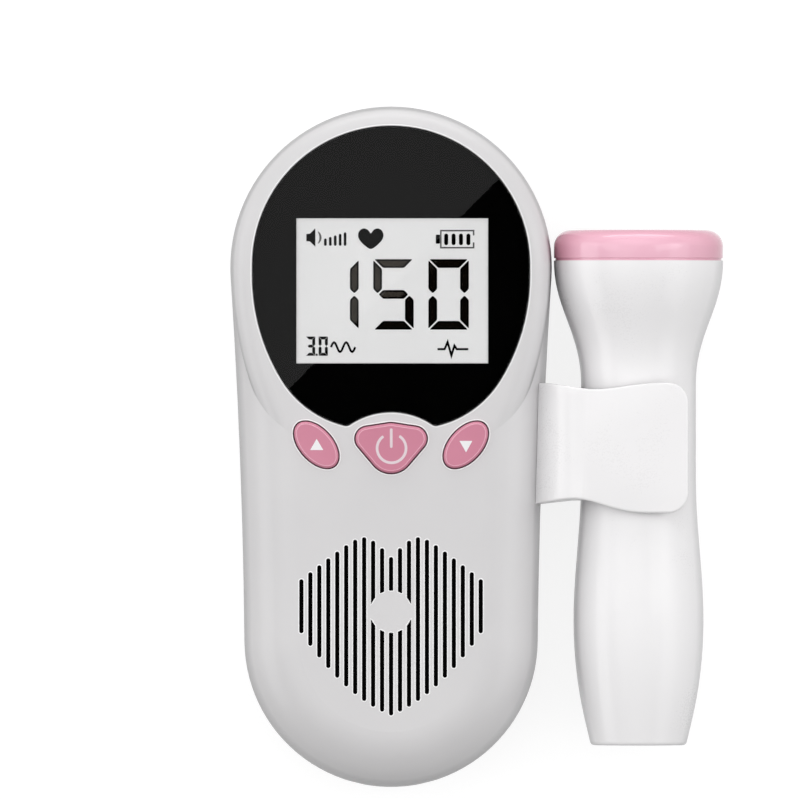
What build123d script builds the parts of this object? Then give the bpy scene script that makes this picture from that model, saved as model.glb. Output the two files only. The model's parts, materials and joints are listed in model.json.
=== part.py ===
"""Hand-held fetal doppler monitor with its probe held in a side clip, all sizes in millimetres.

The main unit lies on its back. +Z points out of its face, +Y towards the display end and +X towards
the probe. The origin is on the rest plane, on the unit's midline, half way along its length.
"""

from build123d import *
from math import hypot, sqrt
import os

os.makedirs("parts", exist_ok=True)

# ---- Case: a pebble between two round ends, its sides very slightly waisted ----
CASE_LENGTH = 135.0
TOP_END_RADIUS = 31.9
BOTTOM_END_RADIUS = 29.1
SIDE_ARC_RADIUS = 1300.0
CASE_THICKNESS = 30.0
WALL = 2.2
FRONT_ROUND = 11.0
BACK_ROUND = 8.0
PARTING_HEIGHT = 12.0
SEAM_GAP = 0.3
LIP_HEIGHT = 1.2
LIP_CLEARANCE = 0.1
OVERCUT = 1.0  # how far a cut starts or ends outside what it opens

# ---- Heights of the key row and the speaker, each measured from its own end of the case ----
KEY_ROW_DROP = 67.5
SPEAKER_RISE = 32.5

# ---- Raised bezel round the display ----
BEZEL_STEP = 0.35
BEZEL_ROUND = 4.0
BEZEL_SIDE_RADIUS = 74.0
BEZEL_TAIL_DROP = 8.0
BEZEL_TAIL_ROUND = 8.0

# ---- Display stack ----
LENS_RADIUS = 27.5
LENS_LIFT = 0.45
LENS_FLANK = 2.2
LENS_CHEEK_X = 21.6
LENS_CHEEK_RISE = 13.1
LENS_LOBE_X = 8.6
LENS_LOBE_RISE = 4.05
LENS_LOBE_RADIUS = 1.5
LENS_ARCH_RISE = 6.85
LENS_THICKNESS = 1.5
LENS_EDGE = 0.25
LENS_CLEARANCE = 0.12
MASK_THICKNESS = 0.15
LEDGE_THICKNESS = 1.5
LEDGE_BORDER = 1.2
WINDOW_WIDTH = 38.0
WINDOW_HEIGHT = 28.75
WINDOW_X = 0.25
WINDOW_RISE = 30.9
LCD_BORDER = 2.0
LCD_THICKNESS = 1.85
LCD_CLEARANCE = 0.25
GLASS_GAP = 0.05
BACKLIGHT_THICKNESS = 2.5
LCD_FRAME_WALL = 1.6
LCD_FRAME_FLOOR = 1.2

# ---- Buttons: three caps under the display, each over a tact switch ----
BUTTON_PROUD = 0.7
BUTTON_EDGE = 0.6
BUTTON_GAP = 0.25
BUTTON_TRAVEL = 0.6
FLANGE_WIDTH = 0.8
FLANGE_THICKNESS = 1.1
FLANGE_CLEARANCE = 0.1
WELL_CLEARANCE = 0.35
POWER_CORNER_X = 4.65
POWER_CORNER_RISE = 1.6
POWER_CORNER_RADIUS = 2.4
POWER_CROWN_RISE = 1.2
POWER_CROWN_RADIUS = 3.5
POWER_TOE_DROP = 0.8
POWER_TOE_RADIUS = 4.4
SIDE_BUTTON_X = 14.8
SIDE_BUTTON_RISE = 0.4
SIDE_BUTTON_LONG = 5.5
SIDE_BUTTON_SHORT = 3.2
SIDE_BUTTON_TILT = 47.8
STEM_RADIUS = 1.6
SWITCH_SIDE = 6.0
SWITCH_HEIGHT = 2.3
PLUNGER_RADIUS = 1.7
PLUNGER_PROUD = 0.7
PLUNGER_SUNK = 0.7
PLUNGER_CLEARANCE = 0.1

# ---- Main board ----
BOARD_THICKNESS = 1.6
BOARD_WIDTH = 44.0
BOARD_RISE = 49.6
BOARD_DROP = 12.0
BOARD_CORNER = 3.0
BOARD_TAB_X = 8.5
BOARD_TAB_RISE = 54.0
BOARD_LOWER_X = 19.0
BOARD_LOWER_DROP = 8.6
BOARD_BOSS_RADIUS = 2.4
CHIP_HEIGHT = 1.2
BOARD_CHIPS = ((-7.0, 30.0, 10.0, 10.0), (9.0, 26.0, 8.0, 5.0), (-2.0, 8.0, 6.0, 5.0))
BOARD_CAPACITORS = ((12.0, 38.0), (12.0, 14.0), (-14.0, 12.0))
CAPACITOR_RADIUS = 2.0
CAPACITOR_HEIGHT = 2.4

# ---- Speaker and its heart-shaped grille of slots ----
SPEAKER_RADIUS = 20.0
SPEAKER_RIM = 2.6
SPEAKER_RIM_HEIGHT = 2.4
SPEAKER_BASKET_RADIUS = 10.0
SPEAKER_BASKET_DEPTH = 7.6
SPEAKER_SHEET = 0.8
MAGNET_RADIUS = 9.0
MAGNET_HEIGHT = 4.0
CONE_THROAT_RADIUS = 4.0
CONE_DEPTH = 4.6
CONE_SHEET = 0.5
CLOTH_THICKNESS = 0.4
COLLAR_CLEARANCE = 0.2
COLLAR_WALL = 1.3
SLOT_PITCH = 1.776
SLOT_WIDTH = 0.84
SLOTS_EACH_SIDE = 10
HEART_PEAK_X = 5.33
HEART_PEAK_RISE = 17.1
HEART_TIP_DROP = 18.2
HEART_OUTER_SLOPE = 0.8
HEART_INNER_SLOPE = 1.1
HEART_SHOULDER = 2.2
HEART_SIDE_SLOPE = 0.377
HEART_SIDE_CURVE = 0.0304
HUB_RISE = 2.35
HUB_RADIUS = 4.17

# ---- Batteries, tray and door ----
CELL_RADIUS = 7.25
CELL_LENGTH = 49.3
CELL_NUB_RADIUS = 2.7
CELL_NUB_HEIGHT = 1.2
CELL_PITCH = 15.1
CELL_FLOOR = 2.0
CELL_CLEARANCE = 0.3
TRAY_DROP = 11.0
LEAF_ROOM = 6.0
TRAY_WALL = 1.4
CONTACT_SHEET = 0.4
CONTACT_CLEARANCE = 0.1
CONTACT_WIDTH = 9.0
CONTACT_HEIGHT = 8.0
DOOR_THICKNESS = 1.4
DOOR_LEDGE = 1.7
DOOR_LATCH_LEDGE = 3.4
DOOR_GAP = 0.3
DOOR_LIFT_GAP = 0.1
DOOR_HINGE_SET = 0.6
DOOR_CORNER = 2.0
HOOK_WIDTH = 6.0
HOOK_X = 9.0
HOOK_REACH = 3.2
HOOK_THICKNESS = 1.0
HOOK_LIFT = 0.3
HOOK_ROOM = 1.0
FINGER_RADIUS = 6.0
FINGER_DEPTH = 1.2
GRIP_START = 7.0
GRIP_GROOVES = 4
GRIP_PITCH = 2.0
GRIP_WIDTH = 12.0
GRIP_DEPTH = 0.4

# ---- Housing screws and the pillars that take them ----
SCREW_UPPER_X = 17.0
SCREW_UPPER_RISE = 19.4
SCREW_LOWER_X = 18.5
SCREW_LOWER_DROP = 15.1
PILLAR_RADIUS = 3.4
SCREW_RADIUS = 1.2
SCREW_HEAD_RADIUS = 2.2
SCREW_HEAD_HEIGHT = 1.6
SCREW_HEAD_SEAT = 5.0
SCREW_LENGTH = 14.0
SCREW_CLEARANCE = 0.1
PILOT_SPARE = 0.5
CROSS_SPAN = 1.3
CROSS_WIDTH = 0.25
BOARD_SCREW_RADIUS = 0.9
BOARD_SCREW_HEAD = 1.8
BOARD_SCREW_HEAD_HEIGHT = 1.0
BOARD_SCREW_LENGTH = 5.0

# ---- Sockets in the bottom end ----
JACK_RADIUS = 1.8
JACK_BARREL_RADIUS = 3.0
JACK_DEPTH = 12.0
JACK_X = 7.0
JACK_HEIGHT = 17.0
JACK_BODY_WIDTH = 7.6
JACK_BODY_HEIGHT = 6.6
JACK_SINK = 0.3
JACK_BARREL_LENGTH = 3.4
JACK_BOARD_THICKNESS = 1.2
JACK_BOARD_WIDTH = 22.0
JACK_POST_X = 7.5
JACK_POST_RADIUS = 1.4
JACK_FLOOR = 1.0

# ---- Probe ----
PROBE_X = 49.1
PROBE_HEIGHT = 17.3
PROBE_WALL = 2.0
HEAD_RADIUS = 16.8
HEAD_SHOULDER = (14.2, 25.15)
NECK_RADIUS = 11.4
NECK_TOP_Y = 12.5
NECK_BOTTOM_Y = -6.5
BELLY_RADIUS = 12.9
BELLY_Y = -34.4
TAIL_RADIUS = 9.45
TAIL_SHOULDER = (11.25, -51.4)
TAIL_Y = -59.2
TAIL_EDGE = 0.8
TAIL_TAPER = 0.24
SEAM_Y = 36.95
CAP_TOP_Y = 43.0
CAP_ROUND = 3.3
CAP_GROOVE = 0.45
CAP_GROOVE_DEPTH = 0.3
CAP_SPIGOT = 2.4
SPIGOT_CLEARANCE = 0.25
CAP_RIM = 3.6
FACE_THICKNESS = 1.6
FACE_SINK = 0.15
CRYSTAL_MARGIN = 3.2
CRYSTAL_THICKNESS = 1.4
CRYSTAL_GAP = 1.0
BACKING_THICKNESS = 5.0
PROBE_BOARD_WIDTH = 14.0
PROBE_BOARD_START_Y = -45.4
PROBE_BOARD_END_Y = 26.0
PROBE_FIT = 0.1
PROBE_SCREW_Y = (-26.0, 19.0)
PROBE_POST_RADIUS = 2.6
PROBE_SCREW_SINK = 2.8
PROBE_SCREW_LENGTH = 11.0
PROBE_CHIPS = ((8.0, 7.0, 7.0), (-8.0, 5.0, 6.0), (-18.0, 8.0, 4.0))
PROBE_SOCKET_LENGTH = 11.0

# ---- Clip ----
CLIP_CLEARANCE = 0.4
CLIP_WALL = 2.2
CLIP_END_X = 58.9
CLIP_CORNER = 4.0
CLIP_ROOT_TOP = 12.7
CLIP_WAIST_TOP = (40.0, 11.45)
CLIP_HAND_TOP = (53.5, 12.7)
CLIP_ROOT_BOTTOM = -11.5
CLIP_WAIST_BOTTOM = (36.0, -10.3)
CLIP_HAND_BOTTOM = (51.0, -13.1)
CLIP_FOOT_LOW = 13.2
CLIP_SHOULDER = (28.9, 23.9)
CLIP_RISE_X = 38.5
CLIP_RISE_SLOPE = 1.2
CLIP_ROOT_SLOPE = 0.2
CLIP_BODY_GAP = 0.05
CLIP_EDGE = 0.45
CLIP_SCREW_Y = 5.5
CLIP_SCREW_HEIGHT = 16.6
CLIP_SPOT_DEPTH = 0.3
CLIP_SCREW_LENGTH = 7.4

# ---- Places worked out from the sizes above ----
TOP_CENTRE_Y = CASE_LENGTH / 2 - TOP_END_RADIUS
BOTTOM_CENTRE_Y = BOTTOM_END_RADIUS - CASE_LENGTH / 2
KEY_ROW_Y = CASE_LENGTH / 2 - KEY_ROW_DROP
SPEAKER_Y = SPEAKER_RISE - CASE_LENGTH / 2
BEZEL_TAIL = KEY_ROW_Y - BEZEL_TAIL_DROP
LENS_CENTRE_Y = TOP_CENTRE_Y + LENS_LIFT
LENS_CHEEK = (LENS_CHEEK_X, KEY_ROW_Y + LENS_CHEEK_RISE)
LENS_LOBE = (LENS_LOBE_X, KEY_ROW_Y + LENS_LOBE_RISE)
LENS_ARCH_TOP = KEY_ROW_Y + LENS_ARCH_RISE
WINDOW_Y = KEY_ROW_Y + WINDOW_RISE
POWER_CORNER_Y = KEY_ROW_Y + POWER_CORNER_RISE
POWER_CROWN_Y = KEY_ROW_Y + POWER_CROWN_RISE
POWER_TOE_Y = KEY_ROW_Y - POWER_TOE_DROP
SIDE_BUTTON_Y = KEY_ROW_Y + SIDE_BUTTON_RISE
BOARD_TOP_Y = KEY_ROW_Y + BOARD_RISE
BOARD_BOTTOM_Y = KEY_ROW_Y - BOARD_DROP
BOARD_TAB_Y = KEY_ROW_Y + BOARD_TAB_RISE
BOARD_LOWER_Y = KEY_ROW_Y - BOARD_LOWER_DROP
HEART_PEAK_Y = SPEAKER_Y + HEART_PEAK_RISE
HEART_TIP_Y = SPEAKER_Y - HEART_TIP_DROP
HUB_Y = SPEAKER_Y + HUB_RISE
SCREW_UPPER = (SCREW_UPPER_X, TOP_CENTRE_Y + SCREW_UPPER_RISE)
SCREW_LOWER = (SCREW_LOWER_X, BOTTOM_CENTRE_Y - SCREW_LOWER_DROP)
CEILING = CASE_THICKNESS - WALL
BEZEL_FOOT = PARTING_HEIGHT + LIP_HEIGHT + OVERCUT
LENS_SEAT = CASE_THICKNESS - LENS_THICKNESS - MASK_THICKNESS
LEDGE_UNDERSIDE = LENS_SEAT - LEDGE_THICKNESS
LCD_TOP = LENS_SEAT - GLASS_GAP
LCD_UNDERSIDE = LCD_TOP - LCD_THICKNESS
LCD_WIDTH = WINDOW_WIDTH + 2 * LCD_BORDER
LCD_HEIGHT = WINDOW_HEIGHT + 2 * LCD_BORDER
LCD_FRAME_WIDTH = LCD_WIDTH + 2 * (LCD_CLEARANCE + LCD_FRAME_WALL)
LCD_FRAME_HEIGHT = LCD_HEIGHT + 2 * (LCD_CLEARANCE + LCD_FRAME_WALL)
BOARD_TOP = LCD_UNDERSIDE - BACKLIGHT_THICKNESS - LCD_FRAME_FLOOR
BOARD_UNDERSIDE = BOARD_TOP - BOARD_THICKNESS
SWITCH_TOP = BOARD_TOP + SWITCH_HEIGHT
PLUNGER_TOP = SWITCH_TOP + PLUNGER_PROUD
FLANGE_TOP = CEILING - FLANGE_CLEARANCE
FLANGE_UNDERSIDE = FLANGE_TOP - FLANGE_THICKNESS
CELL_HEIGHT = CELL_FLOOR + CELL_RADIUS
TRAY_HALF_WIDTH = CELL_PITCH / 2 + CELL_RADIUS + CELL_CLEARANCE
TRAY_ROOF = CELL_FLOOR + 2 * CELL_RADIUS + CELL_CLEARANCE
TRAY_LENGTH = CELL_LENGTH + CELL_NUB_HEIGHT + CONTACT_SHEET + CONTACT_CLEARANCE + LEAF_ROOM
TRAY_START_Y = KEY_ROW_Y - TRAY_DROP
TRAY_END_Y = TRAY_START_Y + TRAY_LENGTH
TRAY_CENTRE_Y = TRAY_START_Y + TRAY_LENGTH / 2
HINGE_Y = TRAY_END_Y + DOOR_HINGE_SET
RECESS_END_Y = HINGE_Y + DOOR_THICKNESS / 2 + DOOR_GAP
RECESS_START_Y = TRAY_START_Y - DOOR_LATCH_LEDGE
RECESS_HALF_WIDTH = TRAY_HALF_WIDTH + DOOR_LEDGE
CLOTH_UNDERSIDE = CEILING - CLOTH_THICKNESS
RIM_UNDERSIDE = CLOTH_UNDERSIDE - SPEAKER_RIM_HEIGHT
BASKET_FLOOR = CLOTH_UNDERSIDE - SPEAKER_BASKET_DEPTH
CLIP_BORE = NECK_RADIUS + CLIP_CLEARANCE
CLIP_OUTER = CLIP_BORE + CLIP_WALL
FACE_RADIUS = HEAD_RADIUS - CAP_RIM
CRYSTAL_RADIUS = FACE_RADIUS - CRYSTAL_MARGIN
FACE_TOP_Y = CAP_TOP_Y - FACE_SINK
CRYSTAL_TOP_Y = FACE_TOP_Y - FACE_THICKNESS


def side_arc_centre():
    """Centre of the right side arc, which touches both end circles from outside."""
    top_reach = SIDE_ARC_RADIUS + TOP_END_RADIUS
    bottom_reach = SIDE_ARC_RADIUS + BOTTOM_END_RADIUS
    span = TOP_CENTRE_Y - BOTTOM_CENTRE_Y
    down = (top_reach**2 - bottom_reach**2 + span**2) / (2 * span)
    return sqrt(top_reach**2 - down**2), TOP_CENTRE_Y - down


SIDE_CENTRE_X, SIDE_CENTRE_Y = side_arc_centre()
CASE_HALF_WIDTH = SIDE_CENTRE_X - sqrt(SIDE_ARC_RADIUS**2 - SIDE_CENTRE_Y**2)
CLIP_SEAT_X = CASE_HALF_WIDTH - WALL + CLIP_SPOT_DEPTH
CLIP_SCREW_PLACES = [(s * CLIP_SCREW_Y, CLIP_SCREW_HEIGHT) for s in (1, -1)]


def case_profile(inset):
    """The case's outline seen from the face, drawn in from its edge by inset."""

    def touch(centre_y, radius):
        away = Vector(SIDE_CENTRE_X, SIDE_CENTRE_Y - centre_y).normalized()
        return Vector(0, centre_y) + away * radius

    top = touch(TOP_CENTRE_Y, TOP_END_RADIUS - inset)
    bottom = touch(BOTTOM_CENTRE_Y, BOTTOM_END_RADIUS - inset)
    waist_y = (top.Y + bottom.Y) / 2
    side_radius = SIDE_ARC_RADIUS + inset
    waist_x = SIDE_CENTRE_X - sqrt(side_radius**2 - (waist_y - SIDE_CENTRE_Y) ** 2)
    top_y = TOP_CENTRE_Y + TOP_END_RADIUS - inset
    bottom_y = BOTTOM_CENTRE_Y - BOTTOM_END_RADIUS + inset
    with BuildSketch() as profile:
        with BuildLine():
            ThreePointArc((-top.X, top.Y), (0, top_y), (top.X, top.Y))
            ThreePointArc((top.X, top.Y), (waist_x, waist_y), (bottom.X, bottom.Y))
            ThreePointArc((bottom.X, bottom.Y), (0, bottom_y), (-bottom.X, bottom.Y))
            ThreePointArc((-bottom.X, bottom.Y), (-waist_x, waist_y), (-top.X, top.Y))
        make_face()
    return profile.sketch


def case_form(inset):
    """The whole closed case as a solid, every face drawn in by inset."""
    with BuildPart() as form:
        with BuildSketch(Plane.XY.offset(inset)):
            add(case_profile(inset))
        extrude(amount=CASE_THICKNESS - 2 * inset)
        fillet(form.faces().sort_by(Axis.Z)[-1].edges(), FRONT_ROUND - inset)
        fillet(form.faces().sort_by(Axis.Z)[0].edges(), BACK_ROUND - inset)
    return form.part


def bezel_form():
    """The raised disc round the display, which sinks into the face below the buttons."""
    radius = TOP_END_RADIUS - BEZEL_STEP
    side_x = radius - BEZEL_SIDE_RADIUS
    tail_x = side_x + sqrt(BEZEL_SIDE_RADIUS**2 - (TOP_CENTRE_Y - BEZEL_TAIL) ** 2)
    mid_y = (TOP_CENTRE_Y + BEZEL_TAIL) / 2
    mid_x = side_x + sqrt(BEZEL_SIDE_RADIUS**2 - (TOP_CENTRE_Y - mid_y) ** 2)
    with BuildPart() as form:
        with BuildSketch(Plane.XY.offset(BEZEL_FOOT)) as outline:
            with BuildLine():
                CenterArc((0, TOP_CENTRE_Y), radius, 0, 180)
                ThreePointArc((radius, TOP_CENTRE_Y), (mid_x, mid_y), (tail_x, BEZEL_TAIL))
                Line((tail_x, BEZEL_TAIL), (-tail_x, BEZEL_TAIL))
                ThreePointArc((-tail_x, BEZEL_TAIL), (-mid_x, mid_y), (-radius, TOP_CENTRE_Y))
            make_face()
            fillet(outline.vertices().group_by(Axis.Y)[0], BEZEL_TAIL_ROUND)
        extrude(amount=CASE_THICKNESS - BEZEL_FOOT)
        fillet(form.faces().sort_by(Axis.Z)[-1].edges(), BEZEL_ROUND)
    return form.part


def lens_profile(grow):
    """The display window: a round top, fuller cheeks and two lobes either side of an arch."""
    with BuildSketch() as profile:
        with BuildLine():
            flank = Line((LENS_RADIUS, LENS_CENTRE_Y), (LENS_RADIUS, LENS_CENTRE_Y - LENS_FLANK))
            cheek = TangentArc(flank @ 1, LENS_CHEEK, tangent=flank % 1)
            TangentArc(LENS_CHEEK, LENS_LOBE, tangent=cheek % 1)
            mirror(about=Plane.YZ)
            CenterArc((0, LENS_CENTRE_Y), LENS_RADIUS, 0, 180)
            ThreePointArc(LENS_LOBE, (0, LENS_ARCH_TOP), (-LENS_LOBE[0], LENS_LOBE[1]))
        make_face()
        fillet(profile.vertices().group_by(Axis.Y)[0], LENS_LOBE_RADIUS)
        if grow:
            offset(amount=grow)
    return profile.sketch


def button_profile(name, grow):
    """A button's outline: the power key is a rounded triangle, the volume keys are leaning ovals."""
    side = {"volume_up": -1, "power": 0, "volume_down": 1}[name]
    with BuildSketch() as profile:
        if side:
            long, short = SIDE_BUTTON_LONG + grow, SIDE_BUTTON_SHORT + grow
            with Locations((side * SIDE_BUTTON_X, SIDE_BUTTON_Y)):
                Ellipse(long, short, rotation=side * SIDE_BUTTON_TILT)
        else:
            with Locations((POWER_CORNER_X, POWER_CORNER_Y), (-POWER_CORNER_X, POWER_CORNER_Y)):
                Circle(POWER_CORNER_RADIUS)
            with Locations((0, POWER_CROWN_Y)):
                Circle(POWER_CROWN_RADIUS)
            with Locations((0, POWER_TOE_Y)):
                Circle(POWER_TOE_RADIUS)
            make_hull()
            if grow:
                offset(amount=grow)
    return profile.sketch


def write(piece, name):
    piece.part.label = name
    export_step(piece.part, f"parts/{name}.step")


BUTTONS = ("volume_up", "power", "volume_down")
BUTTON_CENTRES = {
    "volume_up": (-SIDE_BUTTON_X, SIDE_BUTTON_Y),
    "power": (0, POWER_TOE_Y),
    "volume_down": (SIDE_BUTTON_X, SIDE_BUTTON_Y),
}
BOARD_SCREWS = [(s * BOARD_TAB_X, BOARD_TAB_Y) for s in (1, -1)]
BOARD_SCREWS += [(s * BOARD_LOWER_X, BOARD_LOWER_Y) for s in (1, -1)]
HOUSING_SCREWS = [(s * x, y) for x, y in (SCREW_UPPER, SCREW_LOWER) for s in (1, -1)]


# ---- Forms shared by both shells ----
case_outer = case_form(0)
case_middle = case_form(WALL / 2)
case_inner = case_form(WALL)
bezel = bezel_form()


def heart_top(x):
    slope = HEART_OUTER_SLOPE if x > HEART_PEAK_X else HEART_INNER_SLOPE
    return HEART_PEAK_Y - slope * (hypot(x - HEART_PEAK_X, HEART_SHOULDER) - HEART_SHOULDER)


def heart_bottom(x):
    return HEART_TIP_Y + HEART_SIDE_SLOPE * x + HEART_SIDE_CURVE * x**2


# ---- Front shell ----
# Bosses hang from the face: they are drawn long and cut back to the middle of the wall.
with BuildPart() as front_bosses:
    with BuildSketch(Plane.XY.offset(PARTING_HEIGHT)):
        with Locations(*HOUSING_SCREWS):
            Circle(PILLAR_RADIUS)
    extrude(amount=CASE_THICKNESS)
    with BuildSketch(Plane.XY.offset(BOARD_TOP)):
        with Locations(*BOARD_SCREWS):
            Circle(BOARD_BOSS_RADIUS)
    extrude(amount=CASE_THICKNESS)
    with BuildSketch(Plane.XY.offset(RIM_UNDERSIDE)):
        with Locations((0, SPEAKER_Y)):
            Circle(SPEAKER_RADIUS + COLLAR_CLEARANCE + COLLAR_WALL)
            Circle(SPEAKER_RADIUS + COLLAR_CLEARANCE, mode=Mode.SUBTRACT)
    extrude(amount=CASE_THICKNESS)
    with BuildSketch(Plane.XY.offset(LEDGE_UNDERSIDE)):
        add(lens_profile(LEDGE_BORDER))
    extrude(amount=CASE_THICKNESS)
    add(case_middle, mode=Mode.INTERSECT)

with BuildPart() as front_shell:
    add(case_outer)
    add(bezel)
    add(case_inner, mode=Mode.SUBTRACT)
    add(front_bosses.part)
    split(bisect_by=Plane.XY.offset(PARTING_HEIGHT), keep=Keep.TOP)
    # The outer skin stops short of the parting plane, so a fine shadow line shows.
    with BuildSketch(Plane.XY.offset(PARTING_HEIGHT)):
        add(case_profile(-OVERCUT))
        add(case_profile(WALL / 2), mode=Mode.SUBTRACT)
    extrude(amount=SEAM_GAP, mode=Mode.SUBTRACT)
    with BuildSketch(Plane.XY.offset(PARTING_HEIGHT)):
        add(case_profile(WALL / 2))
        add(case_profile(WALL + LIP_CLEARANCE), mode=Mode.SUBTRACT)
    extrude(amount=LIP_HEIGHT, mode=Mode.SUBTRACT)
    # Room for the frame that holds the glass, as the case's rounding would foul its corners.
    with BuildSketch(Plane.XY.offset(BOARD_TOP)):
        with Locations((WINDOW_X, WINDOW_Y)):
            Rectangle(LCD_FRAME_WIDTH + 2 * LCD_CLEARANCE, LCD_FRAME_HEIGHT + 2 * LCD_CLEARANCE)
    extrude(amount=LEDGE_UNDERSIDE - BOARD_TOP, mode=Mode.SUBTRACT)
    # Display recess, then the hole in its floor that the glass stands in.
    with BuildSketch(Plane.XY.offset(LENS_SEAT)):
        add(lens_profile(LENS_CLEARANCE))
    extrude(amount=CASE_THICKNESS, mode=Mode.SUBTRACT)
    with BuildSketch(Plane.XY.offset(PARTING_HEIGHT)):
        with Locations((WINDOW_X, WINDOW_Y)):
            Rectangle(LCD_WIDTH + 2 * LCD_CLEARANCE, LCD_HEIGHT + 2 * LCD_CLEARANCE)
    extrude(amount=CASE_THICKNESS, mode=Mode.SUBTRACT)
    # Button holes through the face, and wells behind them for the flanges.
    for key in BUTTONS:
        with BuildSketch(Plane.XY.offset(PARTING_HEIGHT)):
            add(button_profile(key, BUTTON_GAP))
        extrude(amount=CASE_THICKNESS, mode=Mode.SUBTRACT)
        with BuildSketch(Plane.XY.offset(BOARD_TOP)):
            add(button_profile(key, FLANGE_WIDTH + WELL_CLEARANCE))
        extrude(amount=CEILING - BOARD_TOP, mode=Mode.SUBTRACT)
    # Grille: upright slots between the heart's upper and lower edges, with a plain hub in the middle.
    with BuildSketch(Plane.XY.offset(PARTING_HEIGHT)):
        for column in range(-SLOTS_EACH_SIDE, SLOTS_EACH_SIDE + 1):
            across = column * SLOT_PITCH
            top, bottom = heart_top(abs(across)), heart_bottom(abs(across))
            with Locations((across, (top + bottom) / 2)):
                SlotOverall(top - bottom, SLOT_WIDTH, rotation=90)
        with Locations((0, HUB_Y)):
            Circle(HUB_RADIUS, mode=Mode.SUBTRACT)
    extrude(amount=CASE_THICKNESS, mode=Mode.SUBTRACT)
    # Pilot holes for the screws.
    with BuildSketch(Plane.XY.offset(PARTING_HEIGHT)):
        with Locations(*HOUSING_SCREWS):
            Circle(SCREW_RADIUS + SCREW_CLEARANCE)
    extrude(amount=SCREW_HEAD_SEAT + SCREW_LENGTH + PILOT_SPARE - PARTING_HEIGHT, mode=Mode.SUBTRACT)
    with BuildSketch(Plane.XY.offset(BOARD_TOP)):
        with Locations(*BOARD_SCREWS):
            Circle(BOARD_SCREW_RADIUS + SCREW_CLEARANCE)
    extrude(amount=BOARD_SCREW_LENGTH - BOARD_THICKNESS + PILOT_SPARE, mode=Mode.SUBTRACT)
    # Clip screw holes through the right wall, spot-faced inside for the heads.
    with BuildSketch(Plane.YZ.offset(CLIP_SEAT_X)):
        with Locations(*CLIP_SCREW_PLACES):
            Circle(SCREW_RADIUS + SCREW_CLEARANCE)
    extrude(amount=2 * WALL, mode=Mode.SUBTRACT)
    with BuildSketch(Plane.YZ.offset(CLIP_SEAT_X)):
        with Locations(*CLIP_SCREW_PLACES):
            Circle(SCREW_HEAD_RADIUS + SCREW_CLEARANCE)
    extrude(amount=-2 * WALL, mode=Mode.SUBTRACT)
    # Flat pocket behind the grille for the cloth and the speaker.
    with BuildSketch(Plane.XY.offset(RIM_UNDERSIDE)):
        with Locations((0, SPEAKER_Y)):
            Circle(SPEAKER_RADIUS + COLLAR_CLEARANCE)
    extrude(amount=CEILING - RIM_UNDERSIDE, mode=Mode.SUBTRACT)
    # Round holes in the bottom end for the two sockets.
    with BuildSketch(Plane.XZ.offset(CASE_LENGTH / 2 - 3 * WALL)):
        with Locations((JACK_X, JACK_HEIGHT), (-JACK_X, JACK_HEIGHT)):
            Circle(JACK_BARREL_RADIUS + SCREW_CLEARANCE)
    extrude(amount=4 * WALL, mode=Mode.SUBTRACT)
write(front_shell, "front_shell")

# ---- Rear shell: back cover with the battery tray, screw pillars and socket board posts ----
JACK_BOARD_UNDERSIDE = JACK_HEIGHT - JACK_BODY_HEIGHT / 2 - JACK_BOARD_THICKNESS
JACK_FACE_Y = BOTTOM_CENTRE_Y - sqrt(BOTTOM_END_RADIUS**2 - (JACK_X + JACK_BARREL_RADIUS) ** 2)
JACK_BODY_Y = JACK_FACE_Y + JACK_SINK + JACK_BARREL_LENGTH
JACK_END_Y = JACK_BODY_Y + JACK_DEPTH
with BuildPart() as rear_posts:
    with BuildSketch(Plane.XY):
        with Locations(*HOUSING_SCREWS):
            Circle(PILLAR_RADIUS)
    extrude(amount=PARTING_HEIGHT)
    with BuildSketch(Plane.XY):
        with Locations(
            *[(s * JACK_POST_X, JACK_END_Y - JACK_DEPTH / 2) for s in (1, 0, -1)]
        ):
            Circle(JACK_POST_RADIUS)
    extrude(amount=JACK_BOARD_UNDERSIDE)
    with BuildSketch(Plane.XY):
        with Locations((0, TRAY_CENTRE_Y)):
            Rectangle(2 * (TRAY_HALF_WIDTH + TRAY_WALL), TRAY_LENGTH + 2 * TRAY_WALL)
    extrude(amount=TRAY_ROOF + TRAY_WALL)
    add(case_middle, mode=Mode.INTERSECT)

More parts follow.
